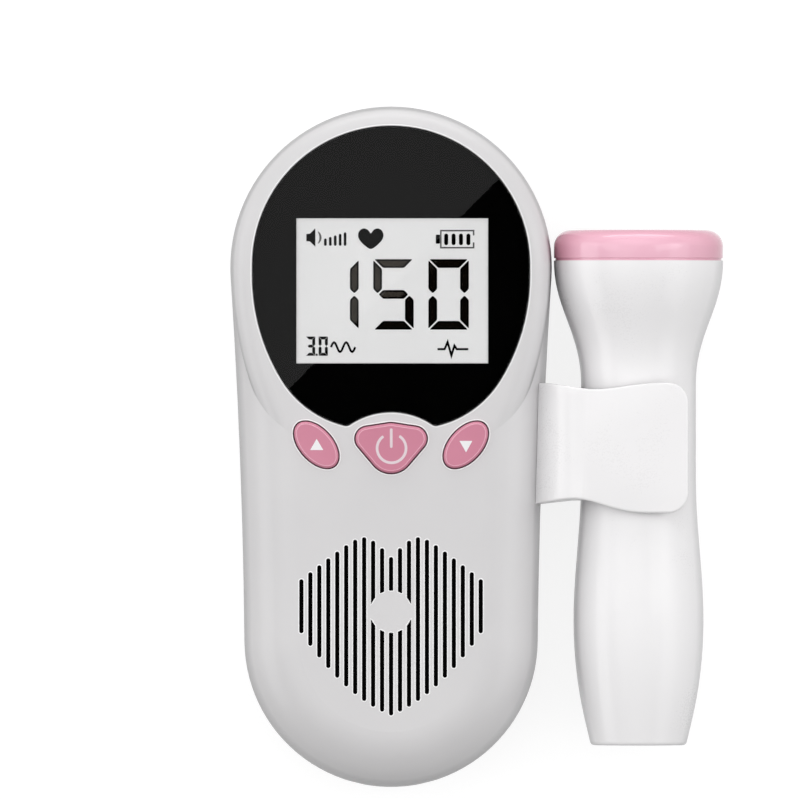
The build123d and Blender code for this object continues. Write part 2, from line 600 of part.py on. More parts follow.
with BuildPart() as rear_shell:
    add(case_outer)
    add(case_inner, mode=Mode.SUBTRACT)
    split(bisect_by=Plane.XY.offset(PARTING_HEIGHT), keep=Keep.BOTTOM)
    with BuildSketch(Plane.XY.offset(PARTING_HEIGHT)):
        add(case_profile(WALL / 2 + LIP_CLEARANCE))
        add(case_profile(WALL), mode=Mode.SUBTRACT)
    extrude(amount=LIP_HEIGHT)
    add(rear_posts.part)
    # Battery space, open to the back.
    with BuildSketch(Plane.XY.offset(-OVERCUT)):
        with Locations((0, TRAY_CENTRE_Y)):
            Rectangle(2 * TRAY_HALF_WIDTH, TRAY_LENGTH)
    extrude(amount=TRAY_ROOF + OVERCUT, mode=Mode.SUBTRACT)
    # Shallow recess for the door, and a scoop for a fingernail at its free end.
    with BuildSketch(Plane.XY.offset(-OVERCUT)) as recess:
        with Locations((0, (RECESS_START_Y + RECESS_END_Y) / 2)):
            Rectangle(2 * RECESS_HALF_WIDTH, RECESS_END_Y - RECESS_START_Y)
        fillet(recess.vertices().group_by(Axis.Y)[0], DOOR_CORNER)
    extrude(amount=OVERCUT + DOOR_THICKNESS + DOOR_LIFT_GAP, mode=Mode.SUBTRACT)
    with BuildSketch(Plane.XY.offset(-OVERCUT)):
        with Locations((0, RECESS_START_Y)):
            Circle(FINGER_RADIUS)
    extrude(amount=OVERCUT + FINGER_DEPTH, mode=Mode.SUBTRACT)
    # Slots for the door's two hooks, through the tray's end wall.
    with BuildSketch(Plane.XY.offset(DOOR_THICKNESS + DOOR_LIFT_GAP)):
        with Locations(*[(s * HOOK_X, HINGE_Y) for s in (1, -1)]):
            Rectangle(HOOK_WIDTH + 2 * DOOR_GAP, 2 * (HOOK_REACH + HOOK_ROOM))
    extrude(amount=HOOK_REACH + HOOK_ROOM - DOOR_LIFT_GAP, mode=Mode.SUBTRACT)
    # Screw holes, counterbored from the back.
    with BuildSketch(Plane.XY.offset(-OVERCUT)):
        with Locations(*HOUSING_SCREWS):
            Circle(SCREW_RADIUS + SCREW_CLEARANCE)
    extrude(amount=PARTING_HEIGHT + 2 * OVERCUT, mode=Mode.SUBTRACT)
    with BuildSketch(Plane.XY.offset(-OVERCUT)):
        with Locations(*HOUSING_SCREWS):
            Circle(SCREW_HEAD_RADIUS + SCREW_CLEARANCE)
    extrude(amount=OVERCUT + SCREW_HEAD_SEAT, mode=Mode.SUBTRACT)
write(rear_shell, "rear_shell")

# ---- Battery door: its rounded end rolls in the recess on two hooks ----
with BuildPart() as battery_door:
    with BuildSketch(Plane.YZ):
        with BuildLine():
            start = RECESS_START_Y + DOOR_GAP
            CenterArc((HINGE_Y, DOOR_THICKNESS / 2), DOOR_THICKNESS / 2, 270, 180)
            Polyline((HINGE_Y, DOOR_THICKNESS), (start, DOOR_THICKNESS), (start, 0), (HINGE_Y, 0))
        make_face()
    extrude(amount=RECESS_HALF_WIDTH - DOOR_GAP, both=True)
    latch_corners = battery_door.edges().filter_by(Axis.Z).group_by(Axis.Y)[0]
    fillet(latch_corners, DOOR_CORNER - DOOR_GAP)
    for hook_x in (HOOK_X, -HOOK_X):
        with BuildSketch(Plane.YZ.offset(hook_x)):
            with BuildLine():
                lift = DOOR_THICKNESS + HOOK_LIFT
                Polyline(
                    (HINGE_Y - HOOK_THICKNESS, DOOR_THICKNESS),
                    (HINGE_Y, DOOR_THICKNESS),
                    (HINGE_Y, lift),
                    (HINGE_Y + HOOK_REACH, lift),
                    (HINGE_Y + HOOK_REACH, lift + HOOK_THICKNESS),
                    (HINGE_Y - HOOK_THICKNESS, lift + HOOK_THICKNESS),
                    close=True,
                )
            make_face()
        extrude(amount=HOOK_WIDTH / 2, both=True)
    with BuildSketch(Plane.XY):
        with Locations((0, RECESS_START_Y + GRIP_START)):
            with GridLocations(0, GRIP_PITCH, 1, GRIP_GROOVES):
                SlotOverall(GRIP_WIDTH, GRIP_PITCH / 2)
    extrude(amount=GRIP_DEPTH, mode=Mode.SUBTRACT)
write(battery_door, "battery_door")

# ---- Display: clear lens, printed mask, glass, backlight and the frame that carries them ----
with BuildPart() as display_lens:
    with BuildSketch(Plane.XY.offset(LENS_SEAT + MASK_THICKNESS)):
        add(lens_profile(0))
    extrude(amount=LENS_THICKNESS)
    chamfer(display_lens.faces().sort_by(Axis.Z)[-1].edges(), LENS_EDGE)
write(display_lens, "display_lens")

with BuildPart() as display_mask:
    with BuildSketch(Plane.XY.offset(LENS_SEAT)):
        add(lens_profile(-LENS_EDGE))
        with Locations((WINDOW_X, WINDOW_Y)):
            Rectangle(WINDOW_WIDTH, WINDOW_HEIGHT, mode=Mode.SUBTRACT)
    extrude(amount=MASK_THICKNESS)
write(display_mask, "display_mask")

with BuildPart() as lcd_panel:
    with BuildSketch(Plane.XY.offset(LCD_UNDERSIDE)):
        with Locations((WINDOW_X, WINDOW_Y)):
            Rectangle(LCD_WIDTH, LCD_HEIGHT)
    extrude(amount=LCD_THICKNESS)
write(lcd_panel, "lcd_panel")

with BuildPart() as lcd_backlight:
    with BuildSketch(Plane.XY.offset(LCD_UNDERSIDE - BACKLIGHT_THICKNESS)):
        with Locations((WINDOW_X, WINDOW_Y)):
            Rectangle(LCD_WIDTH, LCD_HEIGHT)
    extrude(amount=BACKLIGHT_THICKNESS)
write(lcd_backlight, "lcd_backlight")

with BuildPart() as lcd_frame:
    with BuildSketch(Plane.XY.offset(BOARD_TOP)):
        with Locations((WINDOW_X, WINDOW_Y)):
            Rectangle(LCD_FRAME_WIDTH, LCD_FRAME_HEIGHT)
    extrude(amount=LEDGE_UNDERSIDE - BOARD_TOP)
    with BuildSketch(Plane.XY.offset(BOARD_TOP + LCD_FRAME_FLOOR)):
        with Locations((WINDOW_X, WINDOW_Y)):
            Rectangle(LCD_WIDTH + 2 * LCD_CLEARANCE, LCD_HEIGHT + 2 * LCD_CLEARANCE)
    extrude(amount=CASE_THICKNESS, mode=Mode.SUBTRACT)
write(lcd_frame, "lcd_frame")

# ---- Buttons, each a cap with a flange and stem, and the switch plunger it pushes ----
for key in BUTTONS:
    with BuildPart() as button:
        with BuildSketch(Plane.XY.offset(FLANGE_UNDERSIDE)):
            add(button_profile(key, 0))
        extrude(amount=CASE_THICKNESS + BUTTON_PROUD - FLANGE_UNDERSIDE)
        fillet(button.faces().sort_by(Axis.Z)[-1].edges(), BUTTON_EDGE)
        with BuildSketch(Plane.XY.offset(FLANGE_UNDERSIDE)):
            add(button_profile(key, FLANGE_WIDTH))
        extrude(amount=FLANGE_THICKNESS)
        with BuildSketch(Plane.XY.offset(PLUNGER_TOP)):
            with Locations(BUTTON_CENTRES[key]):
                Circle(STEM_RADIUS)
        extrude(amount=FLANGE_UNDERSIDE - PLUNGER_TOP)
    write(button, f"{key}_button")

    with BuildPart() as plunger:
        with BuildSketch(Plane.XY.offset(SWITCH_TOP - PLUNGER_SUNK)):
            with Locations(BUTTON_CENTRES[key]):
                Circle(PLUNGER_RADIUS)
        extrude(amount=PLUNGER_SUNK + PLUNGER_PROUD)
    write(plunger, f"{key}_plunger")

with BuildPart() as button_switches:
    with BuildSketch(Plane.XY.offset(BOARD_TOP)):
        with Locations(*BUTTON_CENTRES.values()):
            Rectangle(SWITCH_SIDE, SWITCH_SIDE)
    extrude(amount=SWITCH_HEIGHT)
    with BuildSketch(Plane.XY.offset(SWITCH_TOP)):
        with Locations(*BUTTON_CENTRES.values()):
            Circle(PLUNGER_RADIUS + PLUNGER_CLEARANCE)
    extrude(amount=-(PLUNGER_SUNK + BUTTON_TRAVEL + PLUNGER_CLEARANCE), mode=Mode.SUBTRACT)
write(button_switches, "button_switches")

# ---- Main board with its parts on the underside ----
with BuildPart() as main_board:
    with BuildSketch(Plane.XY.offset(BOARD_UNDERSIDE)) as outline:
        with Locations((0, (BOARD_TOP_Y + BOARD_BOTTOM_Y) / 2)):
            Rectangle(BOARD_WIDTH, BOARD_TOP_Y - BOARD_BOTTOM_Y)
        fillet(outline.vertices(), BOARD_CORNER)
        tab_end = BOARD_TAB_Y + BOARD_BOSS_RADIUS
        with Locations((0, (BOARD_TOP_Y + tab_end) / 2)):
            Rectangle(2 * (BOARD_TAB_X + BOARD_BOSS_RADIUS), tab_end - BOARD_TOP_Y)
    extrude(amount=BOARD_THICKNESS)
    with BuildSketch(Plane.XY.offset(BOARD_UNDERSIDE)):
        with Locations(*BOARD_SCREWS):
            Circle(BOARD_SCREW_RADIUS + SCREW_CLEARANCE)
    extrude(amount=BOARD_THICKNESS, mode=Mode.SUBTRACT)
write(main_board, "main_board")

with BuildPart() as board_chips:
    for x, rise, width, height in BOARD_CHIPS:
        with BuildSketch(Plane.XY.offset(BOARD_UNDERSIDE)):
            with Locations((x, KEY_ROW_Y + rise)):
                Rectangle(width, height)
        extrude(amount=-CHIP_HEIGHT)
write(board_chips, "board_chips")

with BuildPart() as board_capacitors:
    with BuildSketch(Plane.XY.offset(BOARD_UNDERSIDE)):
        with Locations(*[(x, KEY_ROW_Y + rise) for x, rise in BOARD_CAPACITORS]):
            Circle(CAPACITOR_RADIUS)
    extrude(amount=-CAPACITOR_HEIGHT)
write(board_capacitors, "board_capacitors")

with BuildPart() as board_screws:
    with BuildSketch(Plane.XY.offset(BOARD_UNDERSIDE)):
        with Locations(*BOARD_SCREWS):
            Circle(BOARD_SCREW_RADIUS)
    extrude(amount=BOARD_SCREW_LENGTH)
    with BuildSketch(Plane.XY.offset(BOARD_UNDERSIDE)):
        with Locations(*BOARD_SCREWS):
            Circle(BOARD_SCREW_HEAD)
    extrude(amount=-BOARD_SCREW_HEAD_HEIGHT)
write(board_screws, "board_screws")

# ---- Speaker, each piece turned about its own upright axis ----
SPEAKER_AXIS = Axis((0, SPEAKER_Y, 0), (0, 0, 1))
SPEAKER_PLANE = Plane((0, SPEAKER_Y, 0), x_dir=(1, 0, 0), z_dir=(0, -1, 0))
RIM_INNER = SPEAKER_RADIUS - SPEAKER_RIM

with BuildPart() as grille_cloth:
    with BuildSketch(Plane.XY.offset(CLOTH_UNDERSIDE)):
        with Locations((0, SPEAKER_Y)):
            Circle(SPEAKER_RADIUS)
    extrude(amount=CLOTH_THICKNESS)
write(grille_cloth, "grille_cloth")

with BuildPart() as speaker_frame:
    with BuildSketch(SPEAKER_PLANE):
        with BuildLine():
            Polyline(
                (RIM_INNER, CLOTH_UNDERSIDE),
                (SPEAKER_RADIUS, CLOTH_UNDERSIDE),
                (SPEAKER_RADIUS, RIM_UNDERSIDE),
                (RIM_INNER + SPEAKER_SHEET, RIM_UNDERSIDE),
                (SPEAKER_BASKET_RADIUS, BASKET_FLOOR),
                (0, BASKET_FLOOR),
                (0, BASKET_FLOOR + SPEAKER_SHEET),
                (SPEAKER_BASKET_RADIUS - SPEAKER_SHEET, BASKET_FLOOR + SPEAKER_SHEET),
                (RIM_INNER, RIM_UNDERSIDE + SPEAKER_SHEET),
                close=True,
            )
        make_face()
    revolve(axis=SPEAKER_AXIS)
write(speaker_frame, "speaker_frame")

with BuildPart() as speaker_cone:
    edge_top = CLOTH_UNDERSIDE - SPEAKER_SHEET
    edge_radius = RIM_INNER - COLLAR_CLEARANCE
    throat_top = edge_top - CONE_DEPTH
    with BuildSketch(SPEAKER_PLANE):
        with BuildLine():
            Polyline(
                (edge_radius, edge_top),
                (edge_radius, edge_top - CONE_SHEET),
                (CONE_THROAT_RADIUS, throat_top - CONE_SHEET),
                (CONE_THROAT_RADIUS, BASKET_FLOOR + SPEAKER_SHEET + COLLAR_CLEARANCE),
                (CONE_THROAT_RADIUS - CONE_SHEET, BASKET_FLOOR + SPEAKER_SHEET + COLLAR_CLEARANCE),
                (CONE_THROAT_RADIUS - CONE_SHEET, throat_top),
                (0, throat_top + CONE_THROAT_RADIUS / 2),
                (0, throat_top + CONE_THROAT_RADIUS / 2 + CONE_SHEET),
                (CONE_THROAT_RADIUS, throat_top),
                close=True,
            )
        make_face()
    revolve(axis=SPEAKER_AXIS)
write(speaker_cone, "speaker_cone")

with BuildPart() as speaker_magnet:
    with BuildSketch(Plane.XY.offset(BASKET_FLOOR)):
        with Locations((0, SPEAKER_Y)):
            Circle(MAGNET_RADIUS)
    extrude(amount=-MAGNET_HEIGHT)
    chamfer(speaker_magnet.faces().sort_by(Axis.Z)[0].edges(), SPEAKER_SHEET / 2)
write(speaker_magnet, "speaker_magnet")

# ---- Batteries: two cells, head to tail, between a flat contact and a bowed leaf each ----
def cell_end(side):
    """Where a cell's nub tip stands, its direction, and the far end of its can, all along Y."""
    tip = TRAY_LENGTH / 2 - CONTACT_SHEET - CONTACT_CLEARANCE
    return TRAY_CENTRE_Y - side * tip, -side


with BuildPart() as battery_cells:
    for side in (-1, 1):
        tip_y, way = cell_end(side)
        nub_base = Plane(
            (side * CELL_PITCH / 2, tip_y - way * CELL_NUB_HEIGHT, CELL_HEIGHT), z_dir=(0, way, 0)
        )
        with BuildSketch(nub_base):
            Circle(CELL_RADIUS)
        extrude(amount=-CELL_LENGTH)
        with BuildSketch(nub_base):
            Circle(CELL_NUB_RADIUS)
        extrude(amount=CELL_NUB_HEIGHT)
write(battery_cells, "battery_cells")

with BuildPart() as battery_plates:
    for side in (-1, 1):
        tip_y, way = cell_end(side)
        wall_y = TRAY_CENTRE_Y + way * TRAY_LENGTH / 2
        wall = Plane((side * CELL_PITCH / 2, wall_y, CELL_HEIGHT), z_dir=(0, -way, 0))
        with BuildSketch(wall):
            Rectangle(CONTACT_WIDTH, CONTACT_HEIGHT)
        extrude(amount=CONTACT_SHEET)
write(battery_plates, "battery_plates")

with BuildPart() as battery_springs:
    for side in (-1, 1):
        tip_y, way = cell_end(side)
        wall_y = TRAY_CENTRE_Y - way * TRAY_LENGTH / 2
        can_end_y = tip_y - way * (CELL_NUB_HEIGHT + CELL_LENGTH)
        low_y = wall_y + way * CONTACT_SHEET / 2
        high_y = can_end_y - way * CONTACT_SHEET
        middle = side * CELL_PITCH / 2
        with BuildSketch(Plane.XY.offset(CELL_HEIGHT)):
            with BuildLine() as leaf:
                FilletPolyline(
                    (middle - CONTACT_WIDTH / 2, low_y),
                    (middle + CONTACT_WIDTH / 2, low_y),
                    (middle + CONTACT_WIDTH / 4, high_y),
                    (middle - CONTACT_WIDTH / 2, high_y),
                    radius=CONTACT_SHEET,
                )
            trace(leaf.line, CONTACT_SHEET)
        extrude(amount=CONTACT_HEIGHT / 3, both=True)
write(battery_springs, "battery_springs")

# ---- Fasteners: pan heads with a cross slot ----
def screws(seats, head_radius, head_height, shank_radius, length):
    """One screw per plane, its head standing out along the plane's normal."""
    with BuildPart() as group:
        for seat in seats:
            with BuildSketch(seat):
                Circle(head_radius)
            extrude(amount=head_height)
            with BuildSketch(seat):
                Circle(shank_radius)
            extrude(amount=-length)
            with BuildSketch(seat.offset(head_height)):
                Rectangle(CROSS_SPAN * head_radius, CROSS_WIDTH * head_radius)
                Rectangle(CROSS_WIDTH * head_radius, CROSS_SPAN * head_radius)
            extrude(amount=-head_height / 2, mode=Mode.SUBTRACT)
    return group


housing_seats = [Plane((x, y, SCREW_HEAD_SEAT), z_dir=(0, 0, -1)) for x, y in HOUSING_SCREWS]
housing_screws = screws(housing_seats, SCREW_HEAD_RADIUS, SCREW_HEAD_HEIGHT, SCREW_RADIUS, SCREW_LENGTH)
write(housing_screws, "housing_screws")

clip_seats = [
    Plane((CLIP_SEAT_X, y, height), z_dir=(-1, 0, 0)) for y, height in CLIP_SCREW_PLACES
]
clip_screws = screws(clip_seats, SCREW_HEAD_RADIUS, SCREW_HEAD_HEIGHT, SCREW_RADIUS, CLIP_SCREW_LENGTH)
write(clip_screws, "clip_screws")

# ---- Sockets in the bottom end, on a small board of their own ----
with BuildPart() as jack_board:
    with BuildSketch(Plane.XY.offset(JACK_BOARD_UNDERSIDE)):
        with Locations((0, JACK_END_Y - JACK_DEPTH / 2)):
            Rectangle(JACK_BOARD_WIDTH, JACK_DEPTH)
    extrude(amount=JACK_BOARD_THICKNESS)
write(jack_board, "jack_board")


def jack(front, body_width, body_height, body_length, bore_length):
    """A socket whose bore leaves along the plane's normal; the plane is the front of its body."""
    with BuildPart() as socket:
        with BuildSketch(front):
            Rectangle(body_width, body_height)
        extrude(amount=-body_length)
        with BuildSketch(front):
            Circle(JACK_BARREL_RADIUS)
        extrude(amount=bore_length - body_length + JACK_FLOOR)
        with BuildSketch(front.offset(bore_length - body_length + JACK_FLOOR)):
            Circle(JACK_RADIUS)
        extrude(amount=-bore_length, mode=Mode.SUBTRACT)
    return socket


for name, side in (("headphone_jack", -1), ("probe_jack", 1)):
    socket_front = Plane((side * JACK_X, JACK_BODY_Y, JACK_HEIGHT), x_dir=(1, 0, 0), z_dir=(0, -1, 0))
    bore_length = JACK_BARREL_LENGTH + JACK_DEPTH - JACK_FLOOR
    write(jack(socket_front, JACK_BODY_WIDTH, JACK_BODY_HEIGHT, JACK_DEPTH, bore_length), name)

# ---- Probe: two lengthwise halves round one axis, a cap and the transducer behind it ----
PROBE_AXIS = Axis((PROBE_X, 0, PROBE_HEIGHT), (0, 1, 0))
PROBE_PLANE = Plane((PROBE_X, 0, PROBE_HEIGHT))


def across_probe(y):
    """A plane square to the probe's axis at y, facing the head."""
    return Plane((PROBE_X, y, PROBE_HEIGHT), x_dir=(1, 0, 0), z_dir=(0, 1, 0))


def probe_form(inset, foot_y):
    """The probe's body from its foot to the cap seam, turned about its axis."""
    head = (HEAD_RADIUS - inset, SEAM_Y)
    neck_top = (NECK_RADIUS - inset, NECK_TOP_Y)
    neck_bottom = (NECK_RADIUS - inset, NECK_BOTTOM_Y)
    belly = (BELLY_RADIUS - inset, BELLY_Y)
    foot = (TAIL_RADIUS - inset, foot_y)
    with BuildPart() as form:
        with BuildSketch(PROBE_PLANE):
            with BuildLine():
                shoulder = (HEAD_SHOULDER[0] - inset, HEAD_SHOULDER[1])
                hip = (TAIL_SHOULDER[0] - inset, TAIL_SHOULDER[1])
                Spline(head, shoulder, neck_top, tangents=[(0, -1), (0, -1)])
                Line(neck_top, neck_bottom)
                Spline(neck_bottom, belly, tangents=[(0, -1), (0, -1)])
                Spline(belly, hip, foot, tangents=[(0, -1), (-TAIL_TAPER, -1)])
                Polyline(foot, (0, foot_y), (0, SEAM_Y), head)
            make_face()
        revolve(axis=PROBE_AXIS)
    return form.part


probe_outer = probe_form(0, TAIL_Y)
probe_inner = probe_form(PROBE_WALL, TAIL_Y + PROBE_WALL)
probe_middle = probe_form(PROBE_WALL / 2, TAIL_Y + PROBE_WALL / 2)
PROBE_SCREWS = [(PROBE_X, y) for y in PROBE_SCREW_Y]
PROBE_BOARD_UNDERSIDE = PROBE_HEIGHT - BOARD_THICKNESS / 2
PROBE_SCREW_SEAT = PROBE_HEIGHT - NECK_RADIUS + PROBE_SCREW_SINK
PROBE_SCREW_TIP = PROBE_SCREW_SEAT + PROBE_SCREW_LENGTH + PILOT_SPARE

with BuildPart() as probe_posts:
    with BuildSketch(Plane.XY.offset(PROBE_HEIGHT - HEAD_RADIUS)):
        with Locations(*PROBE_SCREWS):
            Circle(PROBE_POST_RADIUS)
    extrude(amount=2 * HEAD_RADIUS)
    with BuildSketch(Plane.XY.offset(PROBE_BOARD_UNDERSIDE)):
        with Locations((PROBE_X, 0)):
            Rectangle(4 * HEAD_RADIUS, 4 * HEAD_RADIUS)
    extrude(amount=BOARD_THICKNESS, mode=Mode.SUBTRACT)
    add(probe_middle, mode=Mode.INTERSECT)

with BuildPart() as probe_body:
    add(probe_outer)
    fillet(probe_body.edges().filter_by(GeomType.CIRCLE).sort_by(Axis.Y)[0], TAIL_EDGE)
    add(probe_inner, mode=Mode.SUBTRACT)
    add(probe_posts.part)
    with BuildSketch(across_probe(TAIL_Y - OVERCUT)):
        Circle(JACK_BARREL_RADIUS + PROBE_FIT)
    extrude(amount=PROBE_WALL + 2 * OVERCUT, mode=Mode.SUBTRACT)
    with BuildSketch(Plane.XY.offset(PROBE_HEIGHT - HEAD_RADIUS)):
        with Locations(*PROBE_SCREWS):
            Circle(BOARD_SCREW_RADIUS + SCREW_CLEARANCE)
    extrude(amount=PROBE_SCREW_TIP - PROBE_HEIGHT + HEAD_RADIUS, mode=Mode.SUBTRACT)
    with BuildSketch(Plane.XY.offset(PROBE_HEIGHT - HEAD_RADIUS)):
        with Locations(*PROBE_SCREWS):
            Circle(BOARD_SCREW_HEAD + SCREW_CLEARANCE)
    extrude(amount=PROBE_SCREW_SEAT - PROBE_HEIGHT + HEAD_RADIUS, mode=Mode.SUBTRACT)

for name, keep in (("probe_front_half", Keep.TOP), ("probe_rear_half", Keep.BOTTOM)):
    with BuildPart() as half:
        add(probe_body.part)
        split(bisect_by=PROBE_PLANE, keep=keep)
    write(half, name)

with BuildPart() as transducer_cap:
    with BuildSketch(across_probe(SEAM_Y)):
        Circle(HEAD_RADIUS)
    extrude(amount=CAP_TOP_Y - SEAM_Y)
    fillet(transducer_cap.faces().sort_by(Axis.Y)[-1].edges(), CAP_ROUND)
    with BuildSketch(across_probe(SEAM_Y)):
        Circle(HEAD_RADIUS + OVERCUT)
        Circle(HEAD_RADIUS - CAP_GROOVE_DEPTH, mode=Mode.SUBTRACT)
    extrude(amount=CAP_GROOVE, mode=Mode.SUBTRACT)
    with BuildSketch(across_probe(SEAM_Y)):
        Circle(HEAD_RADIUS - PROBE_WALL - SPIGOT_CLEARANCE)
    extrude(amount=-CAP_SPIGOT)
    with BuildSketch(across_probe(SEAM_Y - CAP_SPIGOT)):
        Circle(FACE_RADIUS + PROBE_FIT)
    extrude(amount=CAP_TOP_Y - SEAM_Y + CAP_SPIGOT, mode=Mode.SUBTRACT)
write(transducer_cap, "transducer_cap")

with BuildPart() as transducer_face:
    with BuildSketch(across_probe(FACE_TOP_Y)):
        Circle(FACE_RADIUS)
    extrude(amount=-FACE_THICKNESS)
write(transducer_face, "transducer_face")

with BuildPart() as piezo_crystals:
    with BuildSketch(across_probe(CRYSTAL_TOP_Y)):
        Circle(CRYSTAL_RADIUS)
        Rectangle(CRYSTAL_GAP, 2 * CRYSTAL_RADIUS, mode=Mode.SUBTRACT)
    extrude(amount=-CRYSTAL_THICKNESS)
write(piezo_crystals, "piezo_crystals")

with BuildPart() as crystal_backing:
    with BuildSketch(across_probe(CRYSTAL_TOP_Y - CRYSTAL_THICKNESS)):
        Circle(FACE_RADIUS)
    extrude(amount=-BACKING_THICKNESS)
write(crystal_backing, "crystal_backing")

with BuildPart() as probe_board:
    with BuildSketch(Plane.XY.offset(PROBE_BOARD_UNDERSIDE)):
        with Locations((PROBE_X, (PROBE_BOARD_START_Y + PROBE_BOARD_END_Y) / 2)):
            Rectangle(PROBE_BOARD_WIDTH, PROBE_BOARD_END_Y - PROBE_BOARD_START_Y)
        with Locations(*PROBE_SCREWS):
            Circle(BOARD_SCREW_RADIUS + SCREW_CLEARANCE, mode=Mode.SUBTRACT)
    extrude(amount=BOARD_THICKNESS)
write(probe_board, "probe_board")

with BuildPart() as probe_board_chips:
    for chip_y, width, height in PROBE_CHIPS:
        with BuildSketch(Plane.XY.offset(PROBE_BOARD_UNDERSIDE + BOARD_THICKNESS)):
            with Locations((PROBE_X, chip_y)):
                Rectangle(width, height)
        extrude(amount=CHIP_HEIGHT)
write(probe_board_chips, "probe_board_chips")

tail_front = Plane(
    (PROBE_X, TAIL_Y + PROBE_WALL, PROBE_HEIGHT), x_dir=(1, 0, 0), z_dir=(0, -1, 0)
)
socket_bore = PROBE_SOCKET_LENGTH + PROBE_WALL - JACK_SINK - JACK_FLOOR
probe_lead_socket = jack(
    tail_front, JACK_BODY_WIDTH, JACK_BODY_HEIGHT, PROBE_SOCKET_LENGTH, socket_bore
)
write(probe_lead_socket, "probe_lead_socket")

probe_seats = [Plane((x, y, PROBE_SCREW_SEAT), z_dir=(0, 0, -1)) for x, y in PROBE_SCREWS]
probe_screws = screws(
    probe_seats, BOARD_SCREW_HEAD, BOARD_SCREW_HEAD_HEIGHT, BOARD_SCREW_RADIUS, PROBE_SCREW_LENGTH
)
write(probe_screws, "probe_screws")

# ---- Clip: a foot on the case's side, a wrap round the probe's neck and two flat arms ----
case_seat = case_form(-CLIP_BODY_GAP)
CLIP_FRONT = PROBE_HEIGHT + CLIP_OUTER
inside_x = CASE_HALF_WIDTH - 2 * WALL
root_top = (CLIP_SHOULDER[0], CLIP_ROOT_TOP)
root_bottom = (CLIP_SHOULDER[0], CLIP_ROOT_BOTTOM)

with BuildPart() as probe_clip:
    with BuildSketch(Plane.XZ):
        with BuildLine():
            Spline(CLIP_SHOULDER, (CLIP_RISE_X, CLIP_FRONT), tangents=[(1, CLIP_RISE_SLOPE), (1, 0)])
            Polyline(
                (CLIP_RISE_X, CLIP_FRONT),
                (PROBE_X, CLIP_FRONT),
                (PROBE_X, CLIP_FOOT_LOW),
                (inside_x, CLIP_FOOT_LOW),
                (inside_x, CLIP_SHOULDER[1]),
                CLIP_SHOULDER,
            )
        make_face()
        with Locations((PROBE_X, PROBE_HEIGHT)):
            Circle(CLIP_OUTER)
        with Locations(((PROBE_X + CLIP_END_X) / 2, PROBE_HEIGHT)):
            Rectangle(CLIP_END_X - PROBE_X, 2 * CLIP_OUTER)
        with Locations((PROBE_X, PROBE_HEIGHT)):
            Circle(CLIP_BORE, mode=Mode.SUBTRACT)
            Rectangle(
                CLIP_OUTER, 2 * CLIP_BORE, align=(Align.MIN, Align.CENTER), mode=Mode.SUBTRACT
            )
    extrude(amount=CASE_LENGTH / 4, both=True)
    with BuildSketch(Plane.XY) as outline:
        with BuildLine():
            Line((inside_x, CLIP_ROOT_TOP), root_top)
            Spline(root_top, CLIP_WAIST_TOP, CLIP_HAND_TOP, tangents=[(1, 0), (1, 0)])
            Polyline(
                CLIP_HAND_TOP,
                (CLIP_END_X, CLIP_HAND_TOP[1]),
                (CLIP_END_X, CLIP_HAND_BOTTOM[1]),
                CLIP_HAND_BOTTOM,
            )
            Spline(
                CLIP_HAND_BOTTOM,
                CLIP_WAIST_BOTTOM,
                root_bottom,
                tangents=[(-1, 0), (-1, -CLIP_ROOT_SLOPE)],
            )
            Polyline(root_bottom, (inside_x, CLIP_ROOT_BOTTOM), (inside_x, CLIP_ROOT_TOP))
        make_face()
        fillet(outline.vertices().group_by(Axis.X)[-1], CLIP_CORNER)
    extrude(amount=2 * CASE_THICKNESS, both=True, mode=Mode.INTERSECT)
    fillet(probe_clip.faces().sort_by(Axis.Z)[-1].edges().filter_by(Axis.Y, reverse=True), CLIP_EDGE)
    add(case_seat, mode=Mode.SUBTRACT)
    with BuildSketch(Plane.YZ.offset(inside_x)):
        with Locations(*CLIP_SCREW_PLACES):
            Circle(SCREW_RADIUS + SCREW_CLEARANCE)
    extrude(amount=CLIP_SEAT_X + CLIP_SCREW_LENGTH + PILOT_SPARE - inside_x, mode=Mode.SUBTRACT)
write(probe_clip, "probe_clip")
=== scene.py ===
# %% [markdown]
# # Dressing a hand-held fetal doppler monitor
#
# The monitor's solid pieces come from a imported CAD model, which is loaded here as a fixed frame.
# This lesson adds what it leaves out: the finishes, the figures on the display, the symbols on the
# keys, the crisp lips round every opening and the looks of the cells. Everything is in metres, in
# the CAD model's own place.

# %% Load the frame
import json
import math

